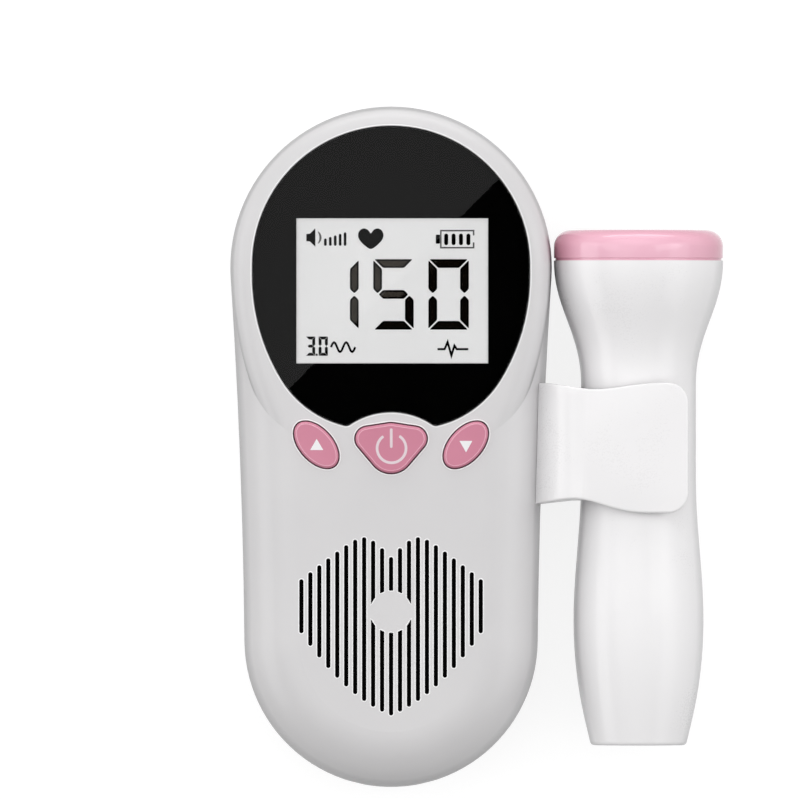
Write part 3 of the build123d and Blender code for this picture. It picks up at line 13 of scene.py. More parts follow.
import bmesh
import bpy
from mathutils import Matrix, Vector


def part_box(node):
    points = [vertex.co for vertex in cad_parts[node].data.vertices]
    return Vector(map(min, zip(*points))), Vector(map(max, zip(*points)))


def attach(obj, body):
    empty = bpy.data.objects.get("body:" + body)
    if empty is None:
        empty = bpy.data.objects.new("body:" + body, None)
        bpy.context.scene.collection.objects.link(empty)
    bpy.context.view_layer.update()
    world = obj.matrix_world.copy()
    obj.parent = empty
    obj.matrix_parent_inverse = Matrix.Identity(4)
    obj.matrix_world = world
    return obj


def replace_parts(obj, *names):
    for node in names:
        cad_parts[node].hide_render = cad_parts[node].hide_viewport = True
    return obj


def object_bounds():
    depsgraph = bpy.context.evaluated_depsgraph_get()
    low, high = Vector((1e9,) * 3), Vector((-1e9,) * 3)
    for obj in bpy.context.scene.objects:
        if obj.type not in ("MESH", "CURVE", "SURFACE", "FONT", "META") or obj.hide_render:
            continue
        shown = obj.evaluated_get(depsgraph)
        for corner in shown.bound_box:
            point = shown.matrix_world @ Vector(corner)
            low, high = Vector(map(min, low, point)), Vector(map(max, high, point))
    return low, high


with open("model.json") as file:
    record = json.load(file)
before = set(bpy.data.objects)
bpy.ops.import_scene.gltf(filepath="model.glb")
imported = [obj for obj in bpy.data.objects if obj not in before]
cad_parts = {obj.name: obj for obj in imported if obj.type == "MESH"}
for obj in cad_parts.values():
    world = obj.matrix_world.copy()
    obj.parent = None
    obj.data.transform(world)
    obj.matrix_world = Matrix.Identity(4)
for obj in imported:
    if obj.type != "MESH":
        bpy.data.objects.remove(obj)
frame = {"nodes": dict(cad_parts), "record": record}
nodes = frame["nodes"]
cad_box = [list(corner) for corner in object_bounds()]
MM = 0.001

# %% [markdown]
# ## The camera
#
# The unit lies on its back and is seen from straight above. A very long lens from far away keeps the
# picture nearly free of perspective, as a technical drawing is. An orthographic camera would look the
# same from above, but a long lens also behaves like a real one from other sides.

# %% Camera
VIEW_WIDTH = 158.7 * MM
VIEW_CENTRE = Vector((1.77, 9.28, 20.0)) * MM
CAMERA_REACH = 6.0


def shown(name, data):
    """A new object in the scene that holds the data."""
    thing = bpy.data.objects.new(name, data)
    bpy.context.scene.collection.objects.link(thing)
    return thing


camera_data = bpy.data.cameras.new("camera")
camera_data.lens = camera_data.sensor_width * CAMERA_REACH / VIEW_WIDTH
camera_data.clip_end = 30.0
camera = shown("camera", camera_data)
camera.location = VIEW_CENTRE + Vector((0, 0, CAMERA_REACH))
bpy.context.scene.camera = camera
bpy.context.scene.view_settings.view_transform = "Standard"
print("focal length in mm:", round(camera_data.lens))

# %% [markdown]
# ## Small helpers for node trees
#
# Materials and Geometry Nodes are both trees of nodes joined by links. The helpers fill a node's
# sockets, add a node, and start a group that is built once and used in many places.

# %% Node helpers
def feed(tree, node, sockets):
    """Fills a node's inputs, each with a plain value or a link."""
    for key, value in sockets.items():
        if isinstance(value, bpy.types.NodeSocket):
            tree.links.new(value, node.inputs[key])
        else:
            node.inputs[key].default_value = value


def add(tree, kind, sockets=None, **settings):
    """A new node: settings are its own options, sockets its inputs as values or as links."""
    node = tree.nodes.new(kind)
    for key, value in settings.items():
        setattr(node, key, value)
    feed(tree, node, sockets or {})
    return node


def made(tree, kind, sockets=None, **settings):
    """What a new node gives."""
    return add(tree, kind, sockets, **settings).outputs[0]


def maths(tree, operation, *values):
    """The result of one sum on plain numbers or links."""
    return made(tree, "ShaderNodeMath", dict(enumerate(values)), operation=operation)


def stretch(tree, value, start, end, low=0.0, high=1.0):
    """The part of a value from start to end, stretched over the range from low to high."""
    sockets = {"Value": value, "From Min": start, "From Max": end, "To Min": low, "To Max": high}
    return made(tree, "ShaderNodeMapRange", sockets)


def start_group(name, kind, takes, gives):
    """A node group with named inputs, each with its default, and named outputs."""
    tree = bpy.data.node_groups.new(name, kind)
    for label, holds, default in takes:
        socket = tree.interface.new_socket(label, in_out="INPUT", socket_type="NodeSocket" + holds)
        if default is not None:
            socket.default_value = default
    for label, holds in gives:
        tree.interface.new_socket(label, in_out="OUTPUT", socket_type="NodeSocket" + holds)
    return tree, tree.nodes.new("NodeGroupInput").outputs, tree.nodes.new("NodeGroupOutput")


# %% [markdown]
# ## Floor, backdrop and light
#
# What the camera, gloss and glass see of the floor is nearly white; what it throws back on the object
# is kept low, so that the unit's edges fall off into grey. The display window mirrors a wide soft box
# over the upper left, whose edge runs slantwise across the glass. Tall soft boxes at both sides put
# bands of gloss on the round probe, and a low strip beyond the top end gives the pink cap its streak.
# Most of the light is even light from above that grows towards the top end.

# %% Floor
def seen_in_mirror(tree):
    """One where the camera, gloss or glass is looking, and nought for scattered light."""
    path = add(tree, "ShaderNodeLightPath").outputs
    direct = maths(tree, "MAXIMUM", path["Is Camera Ray"], path["Is Glossy Ray"])
    return maths(tree, "MAXIMUM", direct, path["Is Transmission Ray"])


def one_or_other(tree, mask, first, second):
    """The first shader where the mask is nought and the second where it is one."""
    return add(tree, "ShaderNodeMixShader", {0: mask, 1: first.outputs[0], 2: second.outputs[0]})


def floor_material():
    material = bpy.data.materials.new("pale_floor")
    material.use_nodes = True
    tree = material.node_tree
    tree.nodes.clear()
    shade = add(tree, "ShaderNodeBsdfDiffuse", {"Color": FLOOR_SHADE})
    glow = add(tree, "ShaderNodeEmission", {"Color": WHITE, "Strength": FLOOR_GLOW})
    pale = add(tree, "ShaderNodeAddShader", {0: shade.outputs[0], 1: glow.outputs[0]})
    dull = add(tree, "ShaderNodeBsdfDiffuse", {"Color": FLOOR_DULL})
    top = one_or_other(tree, seen_in_mirror(tree), dull, pale)
    below = add(tree, "ShaderNodeNewGeometry").outputs["Backfacing"]
    both = one_or_other(tree, below, top, add(tree, "ShaderNodeBsdfTransparent"))
    add(tree, "ShaderNodeOutputMaterial", {"Surface": both.outputs[0]})
    return material


def new_mesh(name, points, edges=(), faces=()):
    mesh = bpy.data.meshes.new(name)
    mesh.from_pydata(points, edges, faces)
    return mesh


WHITE = (1.0, 1.0, 1.0, 1.0)
FLOOR_SHADE, FLOOR_GLOW, FLOOR_DULL = (0.24, 0.24, 0.24, 1), 0.84, (0.3, 0.3, 0.3, 1)
FLOOR_REACH = 12.0
FLOOR_GAP = 0.2 * MM
floor_drop = cad_box[0][2] - FLOOR_GAP
corners = [(FLOOR_REACH * x, FLOOR_REACH * y, floor_drop) for x, y in ((-1, -1), (1, -1), (1, 1), (-1, 1))]
floor_mesh = new_mesh("floor", corners, faces=[(0, 1, 2, 3)])
floor_mesh.materials.append(floor_material())
floor = shown("floor", floor_mesh)
print("floor at z =", round(floor_drop / MM, 2), "mm")

# %% World
world = bpy.data.worlds.new("studio")
bpy.context.scene.world = world
world.use_nodes = True
tree = world.node_tree
tree.nodes.clear()
direction = add(tree, "ShaderNodeTexCoord").outputs["Generated"]
way = add(tree, "ShaderNodeSeparateXYZ", {0: direction}).outputs
# White at the height of the eye, dark overhead, like a studio with an unlit ceiling.
WALL_TOP, CEILING = 0.1, 0.5
backdrop = stretch(tree, way["Z"], WALL_TOP, CEILING, 1.0, 0.0)
glow = add(tree, "ShaderNodeBackground", {"Color": WHITE, "Strength": backdrop})
# Scattered light: an even part that leans to the top end and a little to the right, and a soft
# pool of light overhead.
EVEN, TO_TOP_END, TO_RIGHT = 0.36, 0.34, 0.05
POOL, POOL_FOCUS = 0.92, 4.0
leaning = maths(tree, "MULTIPLY_ADD", way["Y"], TO_TOP_END, EVEN)
leaning = maths(tree, "MULTIPLY_ADD", way["X"], TO_RIGHT, leaning)
overhead = maths(tree, "POWER", maths(tree, "MAXIMUM", way["Z"], 0.0), POOL_FOCUS)
level = maths(tree, "MULTIPLY_ADD", overhead, POOL, leaning)
air = add(tree, "ShaderNodeBackground", {"Color": WHITE, "Strength": level})
mixed = one_or_other(tree, seen_in_mirror(tree), air, glow)
add(tree, "ShaderNodeOutputWorld", {"Surface": mixed.outputs[0]})
print("world set")

# %% Lamps
def soft_box(name, place, aim, width, height, level, turn=0.0):
    """An area lamp that shines with the brightness level over its whole face."""
    data = bpy.data.lights.new(name, "AREA")
    data.shape = "RECTANGLE"
    data.size, data.size_y = width, height
    data.energy = level * math.pi * width * height
    lamp = shown(name, data)
    lamp.location = place
    lamp.rotation_euler = (Vector(aim) - Vector(place)).to_track_quat("-Z", "Y").to_euler()
    lamp.rotation_euler.rotate_axis("Z", turn)
    print("lamp:", name)


slant = Vector((-1, 1, 0)).normalized()
BOX_SIDE, BOX_HEIGHT, BOX_LEVEL, BOX_TURN = 1.2, 0.9, 0.44, math.radians(45)
MIRROR_EDGE = 24.9 * MM
box_middle = slant * (MIRROR_EDGE + BOX_SIDE / 2) + Vector((0, 0, BOX_HEIGHT))
straight_down = box_middle - Vector((0, 0, 1))
soft_box("soft_box_over", box_middle, straight_down, BOX_SIDE, BOX_SIDE, BOX_LEVEL, BOX_TURN)
# Each box has its place, what it is aimed at, its width, its height and its level.
soft_box("soft_box_right", (0.9, 0.2, 1.0), (0, 0, 0), 0.36, 0.9, 1.6)
soft_box("soft_box_left", (-0.9, 0.2, 1.0), (0, 0, 0), 0.36, 0.9, 0.8)
soft_box("low_box_right", (1.15, -0.1, 0.72), (0, 0, 0), 1.4, 0.7, 1.2)
soft_box("low_box_left", (-1.25, -0.1, 0.45), (0, 0, 0), 1.4, 0.7, 1.6)
soft_box("low_box_top_end", (0.0, 1.3, 0.4), (0, 0, 0), 1.4, 0.5, 0.9)
soft_box("strip_top_end", (0.05, 1.4, 0.13), (0.05, 0, 0.03), 1.6, 0.24, 3.0)

# %% [markdown]
# ## Shared surface effects
#
# Three effects turn up in many finishes, so each is a node group: the fine grain and slow patches of
# moulded plastic, the hairline scuffs that handling leaves, and the one-way grain of worked metal.
# Pictures could be wrapped round the pieces instead, but noise has no seams and stays sharp close up.

# %% Moulded skin
def own_place(tree):
    """The place on the piece itself, so that an effect moves with it."""
    return add(tree, "ShaderNodeTexCoord").outputs["Object"]


def cloud(tree, place, size, detail):
    """Noise with features of about the given size in metres."""
    sockets = {"Vector": place, "Scale": maths(tree, "DIVIDE", 1.0, size), "Detail": detail}
    return add(tree, "ShaderNodeTexNoise", sockets).outputs["Fac"]


def blend(tree, share, one, other):
    """A number between two others."""
    sockets = {"Factor": share, "A": one, "B": other}
    return add(tree, "ShaderNodeMix", sockets, data_type="FLOAT").outputs["Result"]


def relief(tree, height, depth, reach=0.05 * MM):
    """The normal of a surface that rises and falls with a height."""
    return made(tree, "ShaderNodeBump", {"Height": height, "Strength": depth, "Distance": reach})


def moulded_skin():
    takes = [("Grain Size", "Float", 0.3 * MM), ("Grain Depth", "Float", 0.1)]
    takes += [("Patch Size", "Float", 20 * MM)]
    gives = [("Tone", "Float"), ("Gloss", "Float"), ("Normal", "Vector")]
    tree, given, out = start_group("moulded_skin", "ShaderNodeTree", takes, gives)
    place = own_place(tree)
    grain = cloud(tree, place, given["Grain Size"], 3.0)
    patch = cloud(tree, place, given["Patch Size"], 4.0)
    normal = relief(tree, grain, given["Grain Depth"])
    feed(tree, out, {"Tone": patch, "Gloss": blend(tree, GRAIN_SHARE, patch, grain), "Normal": normal})
    return tree


GRAIN_SHARE = 0.35
MOULDED_SKIN = moulded_skin()
print("group:", MOULDED_SKIN.name)

# %% Scuffs
def hairline_scuffs():
    takes = [("Length", "Float", 6 * MM), ("Amount", "Float", 0.3)]
    tree, given, out = start_group("hairline_scuffs", "ShaderNodeTree", takes, [("Mask", "Float")])
    place = own_place(tree)
    lines = []
    for turn in (0.5, 2.1):
        laid = {"Vector": place, "Rotation": (0.2, 0.3, turn), "Scale": (1, 45, 45)}
        laid = made(tree, "ShaderNodeMapping", laid)
        lines.append(stretch(tree, cloud(tree, laid, given["Length"], 2.0), SCUFF_START, SCUFF_FULL))
    either = maths(tree, "MAXIMUM", *lines)
    feed(tree, out, {"Mask": maths(tree, "MULTIPLY", either, given["Amount"])})
    return tree


SCUFF_START, SCUFF_FULL = 0.66, 0.74
SCUFFS = hairline_scuffs()
print("group:", SCUFFS.name)

# %% Worked metal
def worked_metal():
    takes = [("Grain Size", "Float", 2 * MM), ("Grain Depth", "Float", 0.2)]
    gives = [("Tone", "Float"), ("Normal", "Vector")]
    tree, given, out = start_group("worked_metal", "ShaderNodeTree", takes, gives)
    place = own_place(tree)
    laid = made(tree, "ShaderNodeMapping", {"Vector": place, "Scale": (1, 14, 14)})
    lines = cloud(tree, laid, given["Grain Size"], 4.0)
    spots = cloud(tree, place, given["Grain Size"], 5.0)
    tone = blend(tree, SPOT_SHARE, lines, spots)
    feed(tree, out, {"Tone": tone, "Normal": relief(tree, tone, given["Grain Depth"])})
    return tree


SPOT_SHARE = 0.45
WORKED_METAL = worked_metal()
print("group:", WORKED_METAL.name)

# %% [markdown]
# ## Finishes
#
# Each finish is one Principled material. A plastic takes two close tones, a range of roughness and
# the size of its grain. Values that are the same all over, such as a clear coat, are set straight on
# the shader, and only what changes over the surface is linked.

# %% Plastic
def spread(tree, value, low, high):
    """Spreads a mask that mostly lies between 0.3 and 0.7 over the range from low to high."""
    return stretch(tree, value, 0.3, 0.7, low, high)


def principled(name, fixed):
    """A Principled material whose plain values are set on the shader itself."""
    material = bpy.data.materials.new(name)
    material.use_nodes = True
    shader = material.node_tree.nodes["Principled BSDF"]
    for key, value in fixed.items():
        shader.inputs[key].default_value = value
    return material, material.node_tree, shader


def two_tones(tree, mask, tone_a, tone_b):
    """A colour between two linear tones, following the mask."""
    mix = add(tree, "ShaderNodeMix", {"Factor": mask}, data_type="RGBA")
    for key, tone in (("A", tone_a), ("B", tone_b)):
        mix.inputs[key].default_value = (*tone, 1.0)
    return mix.outputs["Result"]


finish = {}


def plastic(name, tone_a, tone_b, rough, grain=0.3, depth=0.08, scuffs=0.12, edge=None, **fixed):
    """Moulded plastic between two tones, with a grain sized in millimetres.

    Where an edge is given, painted shade darkens the tone where the surface turns away from the eye; the
    edge is the tone of that painted shade, how far round it starts and how strong it gets.
    """
    plain = {key.replace("_", " "): value for key, value in fixed.items()}
    material, tree, shader = principled(name, plain)
    sizes = {"Grain Size": grain * MM, "Grain Depth": depth}
    skin = add(tree, "ShaderNodeGroup", sizes, node_tree=MOULDED_SKIN).outputs
    marks = add(tree, "ShaderNodeGroup", {"Amount": scuffs}, node_tree=SCUFFS).outputs["Mask"]
    tone = two_tones(tree, spread(tree, skin["Tone"], 0.0, 1.0), tone_a, tone_b)
    if edge:
        # Painted shade: the tone darkens where the surface turns away from the eye.
        painted_shade_tone, start, most = edge
        away = add(tree, "ShaderNodeLayerWeight", {"Blend": 0.5}).outputs["Facing"]
        mix = {"Factor": stretch(tree, away, start, 1.0, 0.0, most), "A": tone, "B": (*painted_shade_tone, 1.0)}
        tone = add(tree, "ShaderNodeMix", mix, data_type="RGBA").outputs["Result"]
    roughness = maths(tree, "ADD", spread(tree, skin["Gloss"], *rough), marks)
    feed(tree, shader, {"Base Color": tone, "Roughness": roughness, "Normal": skin["Normal"]})
    finish[name] = material


# Each edge entry paints shade: the tone darkens towards its shade tone where the surface turns away from
# the eye.
SHELL = {"depth": 0.03, "Coat_Weight": 0.1, "edge": ((0.12, 0.12, 0.125), 0.5, 0.8)}
PROBE = {"depth": 0.03, "Coat_Weight": 0.15, "edge": ((0.25, 0.25, 0.26), 0.55, 0.72)}
CAP = {"depth": 0.0, "scuffs": 0.05, "Coat_Weight": 0.3, "edge": ((0.60, 0.17, 0.27), 0.1, 0.9)}
BLACK = {"scuffs": 0.0, "Specular_IOR_Level": 0.0}
# The display glass glows evenly: a stand-in for its backlight, and painted light that makes up for the
# light the window keeps from it.
LIT = {"depth": 0.0, "scuffs": 0.0, "Emission_Color": WHITE, "Emission_Strength": 0.24}
plastic("white_shell", (0.64, 0.63, 0.637), (0.665, 0.655, 0.66), (0.3, 0.42), **SHELL)
plastic("white_probe", (0.86, 0.85, 0.857), (0.89, 0.88, 0.887), (0.25, 0.36), **PROBE)
plastic("pink_cap", (0.86, 0.48, 0.59), (0.88, 0.51, 0.62), (0.1, 0.16), **CAP)
# This paler white paints the highlights along the edges of the openings and the display window.
plastic("highlight_white", (0.90, 0.90, 0.90), (0.93, 0.93, 0.93), (0.15, 0.25), depth=0.0, scuffs=0.0)
plastic("pink_button", (0.59, 0.205, 0.295), (0.64, 0.24, 0.335), (0.38, 0.5), grain=0.25)
plastic("pink_face", (0.80, 0.50, 0.57), (0.84, 0.55, 0.62), (0.35, 0.5))
plastic("black_print", (0.001, 0.001, 0.001), (0.0015, 0.0015, 0.0015), (0.5, 0.6), **BLACK)
plastic("lcd_grey", (0.80, 0.80, 0.80), (0.83, 0.83, 0.83), (0.4, 0.5), **LIT)
plastic("white_diffuser", (0.78, 0.78, 0.76), (0.82, 0.82, 0.80), (0.5, 0.65))
plastic("switch_black", (0.02, 0.02, 0.021), (0.035, 0.034, 0.033), (0.4, 0.6))
plastic("chip_black", (0.018, 0.018, 0.019), (0.03, 0.03, 0.03), (0.45, 0.65), grain=0.15, depth=0.25)
plastic("socket_black", (0.018, 0.018, 0.019), (0.03, 0.03, 0.03), (0.3, 0.45))
plastic("speaker_paper", (0.02, 0.02, 0.02), (0.05, 0.048, 0.045), (0.75, 0.95), grain=0.5, depth=0.6)
plastic("backing_resin", (0.06, 0.06, 0.075), (0.11, 0.11, 0.13), (0.5, 0.7), grain=0.6, depth=0.3)
plastic("ceramic_crystal", (0.62, 0.58, 0.46), (0.72, 0.68, 0.56), (0.55, 0.75), grain=0.2, depth=0.25)
plastic("cell_wrap", (0.05, 0.12, 0.16), (0.06, 0.14, 0.19), (0.18, 0.28), Coat_Weight=0.3)
plastic("cell_band", (0.72, 0.74, 0.74), (0.78, 0.79, 0.79), (0.2, 0.3), Coat_Weight=0.3)
print("plastics:", len(finish))

# %% [markdown]
# ### Metals
#
# Screws, contacts, cans and the speaker's basket are bare metal with a grain in one direction. Only
# the colour and roughness differ from one metal to the next, so one function makes them all.

# %% Metal
def metal(name, tone_a, tone_b, rough, grain=2.0, depth=0.15):
    material, tree, shader = principled(name, {"Metallic": 1.0})
    sizes = {"Grain Size": grain * MM, "Grain Depth": depth}
    skin = add(tree, "ShaderNodeGroup", sizes, node_tree=WORKED_METAL).outputs
    tone = two_tones(tree, spread(tree, skin["Tone"], 0.0, 1.0), tone_a, tone_b)
    roughness = spread(tree, skin["Tone"], *rough)
    feed(tree, shader, {"Base Color": tone, "Roughness": roughness, "Normal": skin["Normal"]})
    finish[name] = material


metal("screw_steel", (0.36, 0.36, 0.37), (0.52, 0.52, 0.52), (0.3, 0.5), grain=1.0)
metal("can_metal", (0.6, 0.6, 0.61), (0.72, 0.72, 0.72), (0.25, 0.4))
metal("contact_metal", (0.62, 0.6, 0.55), (0.74, 0.72, 0.66), (0.18, 0.34))
metal("speaker_steel", (0.35, 0.35, 0.36), (0.5, 0.5, 0.5), (0.35, 0.5), grain=4.0)
metal("magnet_dark", (0.07, 0.07, 0.075), (0.13, 0.13, 0.135), (0.45, 0.65))
print("finishes so far:", len(finish))

# %% [markdown]
# ### Circuit board and cloth
#
# A circuit board is glass fibre under green lacquer, with paler copper tracks showing through it. A
# brick pattern gives runs of track with gaps. The cloth behind the grille is a plain black weave,
# made by crossing two waves.

# %% Board and cloth
def board_green():
    material, tree, shader = principled("board_green", {})
    place = own_place(tree)
    laid = {"Vector": place, "Scale": 260.0, "Mortar Size": 0.09, "Mortar Smooth": 0.2}
    laid.update({"Color1": (0.012, 0.12, 0.05, 1), "Color2": (0.016, 0.15, 0.06, 1)})
    laid["Mortar"] = (0.05, 0.24, 0.10, 1)
    tracks = add(tree, "ShaderNodeTexBrick", laid, offset=0.37, squash=0.6, squash_frequency=3).outputs
    roughness = spread(tree, cloud(tree, place, 0.6 * MM, 2.0), 0.25, 0.4)
    normal = relief(tree, tracks["Fac"], 0.4)
    feed(tree, shader, {"Base Color": tracks["Color"], "Roughness": roughness, "Normal": normal})
    return material


def black_cloth():
    material, tree, shader = principled("black_cloth", {"Specular IOR Level": 0.1})
    laid = {"Vector": own_place(tree), "Scale": 700.0, "Distortion": 0.4}
    threads = [add(tree, "ShaderNodeTexWave", laid, bands_direction=way).outputs for way in ("X", "Y")]
    over_under = maths(tree, "MULTIPLY", *(thread["Fac"] for thread in threads))
    tone = two_tones(tree, over_under, (0.0008, 0.0008, 0.0008), (0.004, 0.004, 0.004))
    roughness, normal = spread(tree, over_under, 0.8, 0.95), relief(tree, over_under, 0.8, 0.1 * MM)
    feed(tree, shader, {"Base Color": tone, "Roughness": roughness, "Normal": normal})
    return material


finish["board_green"] = board_green()
finish["black_cloth"] = black_cloth()
print("finishes so far:", len(finish))

# %% [markdown]
# ### The display window
#
# The window is a clear acrylic plate over a black print. Light reaches the display through it, so
# shadow rays pass straight through; everything else sees clear plastic that mirrors the soft box
# overhead. Only its front mirrors, as with a back that is coated against glare, so that the black
# figures behind it stay black.

# %% Clear lens
def clear_lens():
    plain = {"Base Color": WHITE, "Transmission Weight": 1.0, "IOR": 1.49}
    material, tree, shader = principled("clear_lens", plain)
    marks = add(tree, "ShaderNodeGroup", {"Amount": 0.02}, node_tree=SCUFFS)
    feed(tree, shader, {"Roughness": marks.outputs["Mask"]})
    shadow = add(tree, "ShaderNodeLightPath").outputs["Is Shadow Ray"]
    back = add(tree, "ShaderNodeNewGeometry").outputs["Backfacing"]
    bare = add(tree, "ShaderNodeBsdfTransparent", {"Color": (0.96, 0.96, 0.96, 1.0)})
    mixed = one_or_other(tree, maths(tree, "MAXIMUM", shadow, back), shader, bare)
    feed(tree, tree.nodes["Material Output"], {"Surface": mixed.outputs[0]})
    return material


finish["clear_lens"] = clear_lens()
print("finishes:", len(finish))

# %% [markdown]
# ## Finishes onto the CAD pieces
#
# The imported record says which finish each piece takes. A CAD piece keeps its mesh and only gets its
# material. The probe and its clip are moulded in a whiter plastic than the shells.

# %% Assign finishes
WHITER = {"probe_front_half", "probe_rear_half", "probe_clip"}
for part in frame["record"]["subparts"]:
    name = "white_probe" if part["node"] in WHITER else part["material_slot"]
    nodes[part["node"]].material_slots[0].material = finish[name]

# %% [markdown]
# ## The clip's shoulder
#
# The clip's front leaves the unit's side in one long curve that is the same all along the clip. The
# CAD mesh has a few long triangles lying across it, which would show as dents. A copy is cut in
# slices along the curve, and its points are set on the outline that the finely meshed part gives.
# The copy then takes the CAD piece's place.

# %% Pieces and copies of CAD pieces
SAME_POINT = 0.002 * MM


def merged(mesh, reach=SAME_POINT):
    """A mesh ready for changes, with its doubled points made one."""
    form = bmesh.new()
    form.from_mesh(mesh)
    bmesh.ops.remove_doubles(form, verts=form.verts, dist=reach)
    return form


def new_piece(name, mesh, body, crease=None):
    """A piece of the scene that rides on a body, smooth up to the crease angle where one is given."""
    if crease:
        mesh.shade_smooth()
        mesh.set_sharp_from_angle(angle=math.radians(crease))
    piece = shown(name, mesh)
    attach(piece, body)
    print(name, "has", len(mesh.polygons), "faces")
    return piece


def stand_in(form, name, node, material):
    """Turns a changed mesh into a piece on the case that takes a CAD piece's place."""
    form.verts.index_update()
    faces = [[v.index for v in face.verts] for face in form.faces]
    mesh = new_mesh(name, [v.co[:] for v in form.verts], faces=faces)
    form.free()
    mesh.materials.append(finish[material])
    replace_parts(new_piece(name, mesh, "case", crease=32), node)


# %% Clip
CLIP_SLICES = 26
CLIP_MIDDLE = 1 * MM  # the long triangles lie on this side of it
EDGE_STRIP = 9.75 * MM
UPWARD = 0.3  # the least a face's normal points up for it to be part of the front
SIDEWAYS = 0.03  # the most it points along the clip


def front_curve(form, most_x):
    """Points, as x and z, of the curve at the clip's front, from where the mesh is fine."""
    curve = {}
    for vert in form.verts:
        normals = [face.normal for face in vert.link_faces]
        along_clip = all(abs(normal.y) < SIDEWAYS and normal.z > UPWARD for normal in normals)
        if along_clip and CLIP_MIDDLE / 2 < vert.co.y < EDGE_STRIP and vert.co.x < most_x:
            curve[round(vert.co.x, 6)] = vert.co.z
    return sorted(curve.items())


def height_on(curve, x):
    """The height of the curve at x, between its two nearest points."""
    for (x_a, z_a), (x_b, z_b) in zip(curve, curve[1:]):
        if x <= x_b:
            break
    return z_a + (z_b - z_a) * (x - x_a) / (x_b - x_a)


CURVE_REACH = 6 * MM  # how far past the probe's side the curve may run
FLAT_WITHIN = 0.0005 * MM
BELOW_CURVE = 0.1 * MM
MOST_SHIFT = 0.5 * MM
form = merged(nodes["probe_clip"].data)
curve = front_curve(form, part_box("probe_front_half")[0].x + CURVE_REACH)
start_x, end_x = curve[0][0], next(x for x, z in curve if z > curve[-1][1] - FLAT_WITHIN)
for k in range(1, CLIP_SLICES):
    cut_x = start_x + (end_x - start_x) * k / CLIP_SLICES
    faces = [face for face in form.faces if face.normal.z > UPWARD]
    faces = [face for face in faces if face.calc_center_median().y < CLIP_MIDDLE]
    faces = [face for face in faces if min(v.co.z for v in face.verts) > curve[0][1] - BELOW_CURVE]
    sliced = {part for face in faces for part in (face, *face.edges, *face.verts)}
    plane = {"plane_co": (cut_x, 0, 0), "plane_no": (1, 0, 0)}
    bmesh.ops.bisect_plane(form, geom=list(sliced), dist=SAME_POINT / 2, **plane)
moved = 0
for vert in form.verts:
    if -EDGE_STRIP < vert.co.y < CLIP_MIDDLE and start_x < vert.co.x < end_x and vert.normal.z > UPWARD:
        height = height_on(curve, vert.co.x)
        if abs(vert.co.z - height) < MOST_SHIFT:
            vert.co.z = height
            moved += 1
bmesh.ops.triangulate(form, faces=[face for face in form.faces if len(face.verts) > 4])
stand_in(form, "smooth_clip", "probe_clip", "white_probe")
print("clip:", len(curve), "curve points from x", start_x, "to", end_x, "and", moved, "points set on it")

# %% [markdown]
# ## A hair of air under the window
#
# The window lies on its black print, and two faces in the very same place show through each other
# as specks. The real parts touch only at their high spots, so a copy of the window has its underside
# lifted by a hair.

# %% Window plate
WINDOW_LIFT = 0.02 * MM
form = merged(nodes["display_lens"].data)
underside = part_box("display_lens")[0].z + SAME_POINT / 2
for vert in form.verts:
    if vert.co.z < underside:
        vert.co.z += WINDOW_LIFT
stand_in(form, "window_plate", "display_lens", "clear_lens")

# %% [markdown]
# ## Lips round the openings
#
# Where the shell is pierced, for the grille's slots, the keys and the display window, a fine crisp
# lip in a paler white than the shell paints the highlight along the edge. The lips follow the real
# edges, so these are read off the shell: each lies between a face that looks up and one that drops
# away. Bevels would do it too, but would change the CAD mesh; a Geometry Nodes tree runs a thin bead along
# the edges instead, mostly sunk in the face.

# %% Edges of the openings
def crisp_rings(node, lowest, flattest=0.9, steepest=0.5):
    """The rings of edges, above a height, between a face that looks up and a wall beside it."""
    form = merged(nodes[node].data)
    ahead = {}
    for edge in form.edges:
        if len(edge.link_faces) != 2 or min(v.co.z for v in edge.verts) < lowest:
            continue
        flat, wall = sorted(edge.link_faces, key=lambda face: -face.normal.z)
        if flat.normal.z > flattest and wall.normal.z < steepest:
            loop = next(loop for loop in flat.loops if loop.edge == edge)
            ahead[tuple(loop.vert.co)] = tuple(loop.link_loop_next.vert.co)
    form.free()
    rings = []
    while ahead:
        first, here = next(iter(ahead.items()))
        ring = [first]
        del ahead[first]
        while here != first and here in ahead:
            ring.append(here)
            here = ahead.pop(here)
        if here == first:
            rings.append([Vector(point) for point in ring])
    return rings


LIPS_WITHIN = 0.6 * MM  # below the window's top
rings = crisp_rings("front_shell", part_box("display_lens")[1].z - LIPS_WITHIN)
print("openings found:", len(rings), "with", sum(len(ring) for ring in rings), "points")

# %% Bead along an edge
CLOSE_POINT = 0.0005 * MM


def start_shape(name, takes):
    """A group that takes values and a material and gives a mesh."""
    takes = takes + [("Material", "Material", None)]
    return start_group(name, "GeometryNodeTree", takes, [("Mesh", "Geometry")])


def end_shape(tree, shape, given, out):
    """Sends a shape out of its group as plain mesh in its material."""
    real = made(tree, "GeometryNodeRealizeInstances", {0: shape})
    sockets = {"Geometry": real, "Material": given["Material"]}
    feed(tree, out, {0: made(tree, "GeometryNodeSetMaterial", sockets)})
    return tree


def bead_tree():
    """A round bead of the given radius along every edge of the mesh."""
    takes = [("Edges", "Geometry", None), ("Radius", "Float", 0.1 * MM), ("Sides", "Int", BEAD_SIDES)]
    tree, given, out = start_shape("bead", takes)
    line = made(tree, "GeometryNodeMeshToCurve", {"Mesh": given["Edges"]})
    round_wire = {"Resolution": given["Sides"], "Radius": given["Radius"]}
    section = made(tree, "GeometryNodeCurvePrimitiveCircle", round_wire)
    swept = made(tree, "GeometryNodeCurveToMesh", {"Curve": line, "Profile Curve": section})
    return end_shape(tree, swept, given, out)


